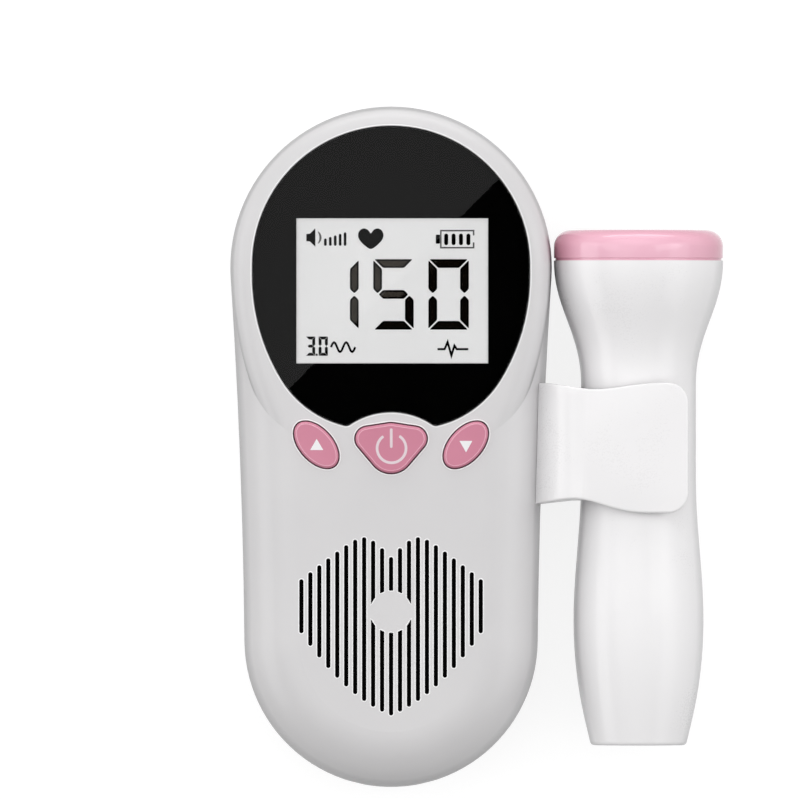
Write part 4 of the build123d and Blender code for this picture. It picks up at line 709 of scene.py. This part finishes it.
def grown(name, mesh, tree, values, body, crease=40):
    """The plain mesh that a tree makes from a start mesh, riding on a body."""
    seed = shown(name + "_seed", mesh)
    modifier = seed.modifiers.new("grow", "NODES")
    modifier.node_group = tree
    sockets = {item.name: item.identifier for item in tree.interface.items_tree if item.in_out == "INPUT"}
    for key, value in values.items():
        modifier[sockets[key]] = value
    evaluated = seed.evaluated_get(bpy.context.evaluated_depsgraph_get())
    result = bpy.data.meshes.new_from_object(evaluated)
    result.name = name
    seed.modifiers.remove(modifier)
    bpy.data.objects.remove(seed)
    form = merged(result, CLOSE_POINT)
    bmesh.ops.recalc_face_normals(form, faces=form.faces)
    form.to_mesh(result)
    form.free()
    return new_piece(name, result, body, crease)


BEAD_SIDES = 8
BEAD = bead_tree()
LIP_RADIUS = 0.13 * MM
LIP_SINK = 0.09 * MM


def lines_beside(rings, outward, sink):
    """A mesh of closed lines that lie a little outside and below the rings."""
    points, edges = [], []
    for ring in rings:
        start, count = len(points), len(ring)
        for k, point in enumerate(ring):
            along = (ring[(k + 1) % count] - ring[k - 1]).normalized()
            points.append(point - along.cross(Vector((0, 0, 1))) * outward - Vector((0, 0, sink)))
        edges += [(start + k, start + (k + 1) % count) for k in range(count)]
    return new_mesh("lines", points, edges)


def beads(name, lines, radius, material, body):
    """A bead along lines, as a piece on a body."""
    values = {"Radius": radius, "Sides": BEAD_SIDES, "Material": finish[material]}
    grown(name, lines, BEAD, values, body, crease=60)


lip_lines = lines_beside(rings, LIP_RADIUS, LIP_SINK)
beads("opening_highlight_lips", lip_lines, LIP_RADIUS, "highlight_white", "case")

# %% [markdown]
# A paler line paints the highlight where each key's top turns into its bevel: the same bead, run
# along the edge of each key's flat top. Each rides on its key.

# %% Key rims
# Paler than the keys, to paint the highlight along the edge of their tops.
plastic("key_rim", (0.80, 0.42, 0.52), (0.84, 0.46, 0.56), (0.3, 0.4), scuffs=0.0)
RIM_RADIUS = 0.11 * MM
RIM_SINK = 0.085 * MM
RIM_WITHIN = 0.05 * MM
FLAT = 0.99
FEWEST_POINTS = 9
for key in ("power", "volume_up", "volume_down"):
    node = key + "_button"
    rims = crisp_rings(node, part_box(node)[1].z - RIM_WITHIN, FLAT, FLAT)
    rims = [ring for ring in rims if len(ring) >= FEWEST_POINTS]
    lines = lines_beside(rims, 0.0, RIM_SINK)
    beads(node + "_rim", lines, RIM_RADIUS, "key_rim", key + "_key")

# %% [markdown]
# ## The transducer cap, turned
#
# The cap is one outline carried round the probe's axis. A Geometry Nodes tree makes it from a grid
# whose rows follow the outline's points and whose columns go round the axis, which gives an even,
# smooth skin for its high gloss. The sizes are read from the CAD pieces.

# %% Turned shapes
def turned_tree():
    """Carries the points of an outline, in radius and place along Y, round an axis along Y."""
    takes = [("Outline", "Geometry", None), ("Points", "Int", 2), ("Columns", "Int", 96)]
    tree, given, out = start_shape("turned", takes + [("Axis", "Vector", (0, 0, 0))])
    grid = {"Vertices X": maths(tree, "ADD", given["Columns"], 1), "Vertices Y": given["Points"]}
    grid = add(tree, "GeometryNodeMeshGrid", grid).outputs["Mesh"]
    index = made(tree, "GeometryNodeInputIndex")
    row = maths(tree, "MODULO", index, given["Points"])
    column = maths(tree, "FLOOR", maths(tree, "DIVIDE", index, given["Points"]))
    place = made(tree, "GeometryNodeInputPosition")
    sampled = {"Geometry": given["Outline"], "Value": place, "Index": row}
    outline = add(tree, "GeometryNodeSampleIndex", sampled, data_type="FLOAT_VECTOR", domain="POINT")
    part = add(tree, "ShaderNodeSeparateXYZ", {0: outline.outputs["Value"]}).outputs
    turn = maths(tree, "DIVIDE", maths(tree, "MULTIPLY", column, 2 * math.pi), given["Columns"])
    across = maths(tree, "MULTIPLY", part["X"], maths(tree, "COSINE", turn))
    up = maths(tree, "MULTIPLY", part["X"], maths(tree, "SINE", turn))
    spot = made(tree, "ShaderNodeCombineXYZ", {"X": across, "Y": part["Y"], "Z": up})
    moved = made(tree, "ShaderNodeVectorMath", {0: spot, 1: given["Axis"]}, operation="ADD")
    bent = made(tree, "GeometryNodeSetPosition", {"Geometry": grid, "Position": moved})
    closed = made(tree, "GeometryNodeMergeByDistance", {"Geometry": bent, "Distance": CLOSE_POINT})
    return end_shape(tree, closed, given, out)


TURNED = turned_tree()


def turned(name, outline, axis, material, body, columns):
    """A turned piece from an outline of (radius, y) in metres about an axis through (x, z)."""
    mesh = new_mesh(name + "_outline", [(radius, y, 0) for radius, y in outline])
    values = {"Points": len(outline), "Columns": columns, "Axis": (axis[0], 0, axis[1])}
    return grown(name, mesh, TURNED, {**values, "Material": finish[material]}, body, crease=30)


def arc(centre, radius, start, end, steps):
    """Points along an arc, from one angle to another in degrees."""
    angles = [math.radians(start + (end - start) * k / steps) for k in range(steps + 1)]
    return [(centre[0] + radius * math.cos(a), centre[1] + radius * math.sin(a)) for a in angles]


# %% Cap
cap_low, cap_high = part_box("transducer_cap")
face_low, face_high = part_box("transducer_face")
probe_axis = ((cap_low.x + cap_high.x) / 2, (cap_low.z + cap_high.z) / 2)
cap_radius = (cap_high.x - cap_low.x) / 2
FACE_PLAY = 0.1 * MM
bore = (face_high.x - face_low.x) / 2 + FACE_PLAY
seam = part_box("probe_front_half")[1].y
CAP_ROUND = 3.3 * MM
CAP_WALL = 2.25 * MM
GROOVE = Vector((0.3, 0.45)) * MM
SOFT = 0.12 * MM

spigot, neck = cap_radius - CAP_WALL, cap_radius - GROOVE.x
outline = [(bore, cap_low.y), (spigot, cap_low.y), (spigot, seam), (neck, seam), (neck, seam + GROOVE.y)]
outline += arc((cap_radius - SOFT, seam + GROOVE.y + SOFT), SOFT, -90, 0, 4)
outline += arc((cap_radius - CAP_ROUND, cap_high.y - CAP_ROUND), CAP_ROUND, 0, 90, 16)
outline += [(bore + SOFT, cap_high.y), (bore, cap_high.y - SOFT), (bore, cap_low.y)]
cap = turned("turned_cap", outline, probe_axis, "pink_cap", "probe", columns=128)
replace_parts(cap, "transducer_cap")

# %% [markdown]
# ## The cells, turned
#
# The battery space shows two AA cells when its door is open: steel cans in a printed sleeve, with a
# crimped shoulder and a nub at the positive end. The same tree turns the can, then a sleeve and a
# pale band over it.

# %% Cells
def islands(node):
    """The points, lowest corner and highest corner of each of a CAD piece's solids, left to right."""
    form = merged(nodes[node].data)
    left, boxes = set(form.verts), []
    while left:
        group, queue = [], [left.pop()]
        while queue:
            vert = queue.pop()
            group.append(vert.co.copy())
            for edge in vert.link_edges:
                other = edge.other_vert(vert)
                if other in left:
                    left.remove(other)
                    queue.append(other)
        corners = [Vector([pick(p[k] for p in group) for k in range(3)]) for pick in (min, max)]
        boxes.append((group, *corners))
    form.free()
    return sorted(boxes, key=lambda box: box[1].x)


# The can's outline in millimetres: in from its side and on from its foot, in from its side and back
# from its shoulder's end, and out from the nub's side and back from the shoulder's end.
CAN_FOOT = ((0.9, 0.0), (0.9, 0.2), (0.3, 0.05), (0.0, 0.4))
CAN_SHOULDER = ((0.0, 1.5), (0.35, 0.9), (0.7, 0.5), (1.4, 0.4))
CAN_NUB = ((0.5, 0.1), (0.0, 0.0), (0.0, -0.9))
NUB_RADIUS, NUB_HEIGHT, NUB_BEVEL = 2.7 * MM, 1.2 * MM, 0.3 * MM
SLEEVE, SLEEVE_START, BAND_LENGTH, BAND_END = 0.12 * MM, 0.5 * MM, 12.0 * MM, 1.4 * MM
TIP_BAND = 0.1 * MM
WIDEST_NUB = 0.6  # a wider end is the foot
cans = []
for number, (points, low, high) in enumerate(islands("battery_cells"), 1):
    axis = ((low.x + high.x) / 2, (low.z + high.z) / 2)
    radius = (high.x - low.x) / 2
    tip_reach = max(math.hypot(p.x - axis[0], p.z - axis[1]) for p in points if high.y - p.y < TIP_BAND)
    way = 1 if tip_reach < WIDEST_NUB * radius else -1
    foot, tip = (low.y, high.y) if way > 0 else (high.y, low.y)
    length = high.y - low.y - NUB_HEIGHT
    can = radius - SLEEVE
    outline = [(can - inward * MM, foot + way * on * MM) for inward, on in CAN_FOOT]
    outline += [(can - inward * MM, foot + way * (length - back * MM)) for inward, back in CAN_SHOULDER]
    outline += [(NUB_RADIUS + out * MM, foot + way * (length - back * MM)) for out, back in CAN_NUB]
    outline = [(0, foot)] + outline + [(NUB_RADIUS - NUB_BEVEL, tip), (0, tip)]
    cans.append(turned(f"cell_can_{number}", outline, axis, "can_metal", "case", columns=64))
    for name, material, start, end in (
        ("sleeve", "cell_wrap", SLEEVE_START, length - BAND_LENGTH),
        ("band", "cell_band", length - BAND_LENGTH, length - BAND_END),
    ):
        start, end = foot + way * start, foot + way * end
        ring = [(can, start), (radius, start), (radius, end), (can, end), (can, start)]
        turned(f"cell_{name}_{number}", ring, axis, material, "case", columns=64)
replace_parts(cans[0], "battery_cells")

# %% [markdown]
# ## Flat figures cut from outlines
#
# The display's figures and the symbols on the keys are thin flat plates, each made from its outline
# with the corners rounded a little. Text turned into mesh would need cleaning up; plain outlines stay
# light and exact.

# %% Outline helpers
def counter_clockwise(outline):
    turn = sum(a[0] * b[1] - b[0] * a[1] for a, b in zip(outline, outline[1:] + outline[:1]))
    return outline if turn > 0 else outline[::-1]


def shrunk(outline, depth):
    """The outline drawn in by a depth, each corner along the middle of its two sides."""
    outline, smaller = counter_clockwise(outline), []
    for k, corner in enumerate(outline):
        here = Vector(corner)
        back = (here - Vector(outline[k - 1])).normalized()
        ahead = (Vector(outline[(k + 1) % len(outline)]) - here).normalized()
        inward = Vector((-back.y, back.x)) + Vector((-ahead.y, ahead.x))
        smaller.append(tuple(here + inward * depth / (1 + back.dot(ahead))))
    return smaller


def rounded(outline, radius, steps=3, most=0.48):
    """The outline with a curve for each corner, which takes up at most a share of each side."""
    smooth = []
    for k, corner in enumerate(outline):
        here = Vector(corner)
        back, ahead = Vector(outline[k - 1]) - here, Vector(outline[(k + 1) % len(outline)]) - here
        reach = min(radius, most * back.length, most * ahead.length)
        start, end = here + back.normalized() * reach, here + ahead.normalized() * reach
        for n in range(steps + 1):
            t = n / steps
            smooth.append(tuple((1 - t) ** 2 * start + 2 * t * (1 - t) * here + t**2 * end))
    return smooth


def plate_mesh(name, outlines, base, thickness):
    """Flat plates in millimetres, standing on the height base."""
    form = bmesh.new()
    for outline in outlines:
        ordered = counter_clockwise(outline)
        low = [form.verts.new((x * MM, y * MM, base * MM)) for x, y in ordered]
        high = [form.verts.new((x * MM, y * MM, (base + thickness) * MM)) for x, y in ordered]
        form.faces.new(high)
        form.faces.new(low[::-1])
        for k, n in enumerate([*range(1, len(low)), 0]):
            form.faces.new((low[k], low[n], high[n], high[k]))
    mesh = bpy.data.meshes.new(name)
    form.to_mesh(mesh)
    form.free()
    return mesh


def plates(name, outlines, base, thickness, material, body):
    """One piece made of flat plates, which rides on a body."""
    mesh = plate_mesh(name, outlines, base, thickness)
    mesh.materials.append(finish[material])
    new_piece(name, mesh, body)


def box_outline(left, bottom, right, top):
    return [(left, bottom), (right, bottom), (right, top), (left, top)]


def shifted(outline, across, up):
    return [(across + x, up + y) for x, y in outline]


# %% [markdown]
# ### Seven-bar figures
#
# A figure is up to seven bars with mitred ends and hairline gaps. All bars come from four sizes: the
# figure's width and height, the bar's width and the gap. Each bar has a matt edge and a glossier
# core, because the ink lies thickest along its middle.

# %% Figures
FIGURE_BARS = {"0": "abcdef", "1": "bc", "3": "abcdg", "5": "acdfg"}


def figure_bars(figure, width, height, bar, gap):
    """The outlines of one figure's bars, from its lower left corner."""
    middle = height / 2
    start, end, lower = bar + gap, width - bar - gap, height - bar
    flat = [(gap, height), (width - gap, height), (end, lower), (start, lower)]
    upright = [(0, height - gap), (bar, lower - gap), (bar, middle + bar / 2 + gap)]
    upright += [(bar / 2, middle + gap), (0, middle + bar / 2 + gap)]
    crossbar = [(bar / 2 + gap, middle), (start, middle + bar / 2), (end, middle + bar / 2)]
    crossbar += [(width - bar / 2 - gap, middle), (end, middle - bar / 2), (start, middle - bar / 2)]

    def down(points):
        return [(x, height - y) for x, y in points]

    def over(points):
        return [(width - x, y) for x, y in points]

    bars = {"a": flat, "d": down(flat), "f": upright, "e": down(upright), "b": over(upright)}
    bars.update({"c": down(over(upright)), "g": crossbar})
    return [bars[key] for key in FIGURE_BARS[figure]]


def figure_row(figures, bottom, sizes):
    """The bars of figures in a row, each figure with its left side."""
    return [shifted(bar, left, bottom) for figure, left in figures for bar in figure_bars(figure, *sizes)]


def ink(name, tone_a, tone_b, rough, level):
    plastic(name, tone_a, tone_b, rough, grain=0.4, depth=0.0, scuffs=0.0, Specular_IOR_Level=level)


ink("lcd_ink", (0.0006, 0.0006, 0.0006), (0.001, 0.001, 0.001), (0.6, 0.7), 0.0)
ink("lcd_ink_core", (0.002, 0.0015, 0.001), (0.003, 0.002, 0.0015), (0.015, 0.02), 1.0)
# The glass with the figures stands a hair out of level with the window, so the cores go on
# mirroring the soft box a little past the edge that the window shows.
OUT_OF_LEVEL = 0.0026
tree = finish["lcd_ink_core"].node_tree
lean = made(tree, "ShaderNodeCombineXYZ", {"X": -OUT_OF_LEVEL, "Y": OUT_OF_LEVEL, "Z": 1.0})
feed(tree, tree.nodes["Principled BSDF"], {"Specular Tint": (1.0, 0.88, 0.74, 1.0), "Normal": lean})

glass_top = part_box("lcd_panel")[1].z / MM
INK_HEIGHT, INK_CORNER, CORE_HEIGHT, CORE_INSET = 0.03, 0.3, 0.02, 0.36


def printed(name, outlines, material, rise=0.0, thickness=INK_HEIGHT):
    """Figures or signs on the display's glass."""
    plates(name, outlines, glass_top + rise, thickness, material, "case")


RATE_BOTTOM, RATE_SIZES = 23.22, (8.0, 13.95, 1.72, 0.21)
bars = figure_row((("1", -14.42), ("5", -3.52), ("0", 7.40)), RATE_BOTTOM, RATE_SIZES)
printed("rate_figures", [rounded(points, INK_CORNER) for points in bars], "lcd_ink")
cores = [shrunk(points, CORE_INSET) for points in bars]
printed("rate_cores", cores, "lcd_ink_core", INK_HEIGHT, CORE_HEIGHT)

# %% [markdown]
# ### Small signs on the display
#
# Along the top run a loudspeaker with rising bars, a heart and a battery. Below stand a small number
# with a wave for the probe's pitch, and a pulse mark: generic signs, as on any such display.

# %% Rows of level bars
def level_bars_tree():
    """A row of copies of one short bar, each stretched upwards by its place in the row."""
    takes = [("Bar", "Geometry", None), ("Bars", "Int", 4), ("Start", "Vector", (0, 0, 0))]
    takes += [("Pitch", "Float", 1.0 * MM), ("First Height", "Float", 1.0 * MM), ("Rise", "Float", 0.0)]
    tree, given, out = start_shape("level_bars", takes)

    def marked(shape, name, value):
        sockets = {"Geometry": shape, "Name": name, "Value": value}
        node = add(tree, "GeometryNodeStoreNamedAttribute", sockets, data_type="FLOAT", domain="POINT")
        return node.outputs[0]

    def read(name):
        node = add(tree, "GeometryNodeInputNamedAttribute", {"Name": name}, data_type="FLOAT")
        return node.outputs["Attribute"]

    step = made(tree, "ShaderNodeCombineXYZ", {"X": given["Pitch"]})
    row = {"Count": given["Bars"], "Start Location": given["Start"], "Offset": step}
    line = made(tree, "GeometryNodeMeshLine", row, mode="OFFSET")
    index = made(tree, "GeometryNodeInputIndex")
    height = maths(tree, "MULTIPLY_ADD", index, given["Rise"], given["First Height"])
    line = marked(line, "stretch", height)
    place = made(tree, "GeometryNodeInputPosition")
    level = add(tree, "ShaderNodeSeparateXYZ", {0: place}).outputs["Y"]
    bar = marked(given["Bar"], "upper", maths(tree, "GREATER_THAN", level, 0.0))
    copies = made(tree, "GeometryNodeInstanceOnPoints", {"Points": line, "Instance": bar})
    real = made(tree, "GeometryNodeRealizeInstances", {0: copies})
    lift = maths(tree, "MULTIPLY", read("stretch"), read("upper"))
    offset = made(tree, "ShaderNodeCombineXYZ", {"Y": lift})
    drawn = made(tree, "GeometryNodeSetPosition", {"Geometry": real, "Offset": offset})
    return end_shape(tree, drawn, given, out)


LEVEL_BARS = level_bars_tree()


def level_bars(name, left, bottom, width, count, pitch, first, rise):
    """A row of round-ended bars in millimetres; the heights are those between the round ends."""
    end = width / 2
    half = arc((0, 0), end, 0, 180, 6)
    tiny = 0.01
    pill = [(x, y + tiny) for x, y in half] + [(-x, -y - tiny) for x, y in half]
    mesh = plate_mesh(name + "_bar", [pill], glass_top, INK_HEIGHT)
    sizes = {"Pitch": pitch, "First Height": first, "Rise": rise}
    values = {key: value * MM for key, value in sizes.items()}
    values.update({"Bars": count, "Start": (left * MM, (bottom + end) * MM, 0)})
    grown(name, mesh, LEVEL_BARS, {**values, "Material": finish["lcd_ink"]}, "case")


level_bars("volume_level", -13.01, 39.83, 0.52, 5, 0.975, 0.91, 0.305)
level_bars("battery_level", 10.92, 39.95, 0.78, 4, 1.463, 1.5, 0.0)

# %% Signs
def arc_band(centre, radius, width, start, end, steps):
    """A band along an arc, from the angle start to end in degrees."""
    outer, inner = [arc(centre, radius + side * width / 2, start, end, steps) for side in (1, -1)]
    return outer + inner[::-1]


def band(points, width):
    """A band of even width along a run of points, mitred where it turns."""
    left, right = [], []
    for k, point in enumerate(points):
        here = Vector(point)
        back = (here - Vector(points[k - 1])).normalized() if k else None
        ahead = (Vector(points[k + 1]) - here).normalized() if k + 1 < len(points) else None
        back, ahead = back or ahead, ahead or back
        side = Vector((-back.y, back.x)) + Vector((-ahead.y, ahead.x))
        side *= width / 2 / (1 + back.dot(ahead))
        left.append(tuple(here + side))
        right.append(tuple(here - side))
    return left + right[::-1]


def heart(left, bottom, right, top, blunt=0.26, steps=36):
    """A plump heart with a blunt tip, from sums of sines and cosines, fitted into a box."""
    points = []
    for k in range(2 * steps):
        t = math.pi * k / steps
        x = 0.8 * math.sin(t) ** 3 + 0.2 * math.sin(t)
        y = 11.8 * math.cos(t) - 4.2 * math.cos(2 * t) - 1.6 * math.cos(3 * t) - 0.8 * math.cos(4 * t)
        if math.cos(t) < 0:
            if abs(x) < blunt:
                continue
            x = math.copysign(math.sqrt((x * x - blunt**2) / (1 - blunt**2)), x)
        points.append((x, y))
    lows, highs = [[pick(p[k] for p in points) for k in (0, 1)] for pick in (min, max)]
    across, up = (right - left) / (highs[0] - lows[0]), (top - bottom) / (highs[1] - lows[1])
    return [(left + (x - lows[0]) * across, bottom + (y - lows[1]) * up) for x, y in points]


def crescent(centre, radius, width, spread_angle, steps=12, taper=0.75):
    """A sliver along an arc, thick in its middle and thin at its ends."""
    outer, inner = [], []
    for k in range(steps + 1):
        t = 2 * k / steps - 1
        a = math.radians(spread_angle * t)
        half = width / 2 * (1 - taper * t * t)
        for side, reach in ((outer, radius + half), (inner, radius - half)):
            side.append((centre[0] + reach * math.cos(a), centre[1] + reach * math.sin(a)))
    return outer + inner[::-1]


SIGN_LINE, CASE_LINE = 0.42, 0.3
speaker = [(-16.78, 40.72), (-16.1, 40.72), (-15.0, 39.62), (-15.0, 43.3), (-16.1, 42.2), (-16.78, 42.2)]
signs = [rounded(speaker, 0.15), heart(-6.54, 39.2, -1.5, 43.26)]
signs.append(rounded(box_outline(8.86, 40.25, 9.68, 42.03), 0.18))
wave = [(-11.9 + 0.2 * k, 19.75 + 0.95 * math.sin(2 * math.pi * k / 12)) for k in range(25)]
pulse = [(9.2, 19.35), (10.6, 19.35), (11.2, 20.75), (11.95, 18.1), (12.55, 20.05), (13.0, 19.35)]
signs += [band(line, SIGN_LINE) for line in (wave, pulse + [(15.3, 19.35)])]

SMALL_BOTTOM, SMALL_SIZES = 18.05, (1.82, 3.8, 0.58, 0.03)
signs += figure_row((("3", -16.85), ("0", -14.35)), SMALL_BOTTOM, SMALL_SIZES)
signs.append(box_outline(-14.93, SMALL_BOTTOM, -14.55, SMALL_BOTTOM + 0.4))
printed("display_signs", signs, "lcd_ink")

ink("lcd_ink_pale", (0.12, 0.12, 0.12), (0.16, 0.16, 0.16), (0.5, 0.6), 0.1)
cell = [(16.35, 41.9), (16.35, 42.83), (9.85, 42.83), (9.85, 39.45), (16.35, 39.45), (16.35, 40.5)]
pale = [band(cell, CASE_LINE), crescent((-15.6, 41.46), 1.62, SIGN_LINE, 46)]
printed("display_pale_signs", pale, "lcd_ink_pale")

# %% [markdown]
# ### Light along the window's edge
#
# The opening in the black print has a cut edge, and along the bottom and the right a thin bright
# strip paints the highlight that it catches.

# %% Window edge
LCD_BORDER = 2.0
EDGE_WIDTH, EDGE_RISE, EDGE_HEIGHT = 0.16, 0.06, 0.1
panel_low, panel_high = [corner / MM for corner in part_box("lcd_panel")]
left, right = panel_low.x + LCD_BORDER, panel_high.x - LCD_BORDER
bottom, top = panel_low.y + LCD_BORDER, panel_high.y - LCD_BORDER
strips = [
    box_outline(left, bottom, right - EDGE_WIDTH, bottom + EDGE_WIDTH),
    box_outline(right - EDGE_WIDTH, bottom, right, top),
]
plates("window_edge_highlight", strips, glass_top + EDGE_RISE, EDGE_HEIGHT, "highlight_white", "case")

# %% [markdown]
# ### Symbols on the keys
#
# The keys have symbols let in from white plastic: an arrow up, an arrow down, and a ring with a bar
# for on and off. Each rides on its own key, so it moves when pressed.

# %% Key symbols
key_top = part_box("power_button")[1].z / MM
SYMBOL_PROUD = 0.04
symbol_base = key_top - SYMBOL_PROUD / 2
plastic("key_white", (0.80, 0.79, 0.80), (0.85, 0.84, 0.85), (0.35, 0.5))
plastic("key_pale", (0.72, 0.60, 0.64), (0.77, 0.65, 0.69), (0.35, 0.5))

up_arrow = rounded([(-16.01, -0.63), (-13.41, -0.63), (-14.74, 1.60)], 0.1)
down_arrow = rounded([(13.54, 1.18), (16.10, 1.18), (14.85, -1.10)], 0.1)
ring = rounded(arc_band((0.10, -0.29), 2.87, 0.54, -236, 58, 40), 0.2)
bar = rounded(box_outline(-0.23, -0.2, 0.31, 3.66), 0.25)
for key, shapes, material in (
    ("volume_up", [up_arrow], "key_white"),
    ("volume_down", [down_arrow], "key_white"),
    ("power", [ring, bar], "key_pale"),
):
    plates(key + "_symbol", shapes, symbol_base, SYMBOL_PROUD, material, key + "_key")
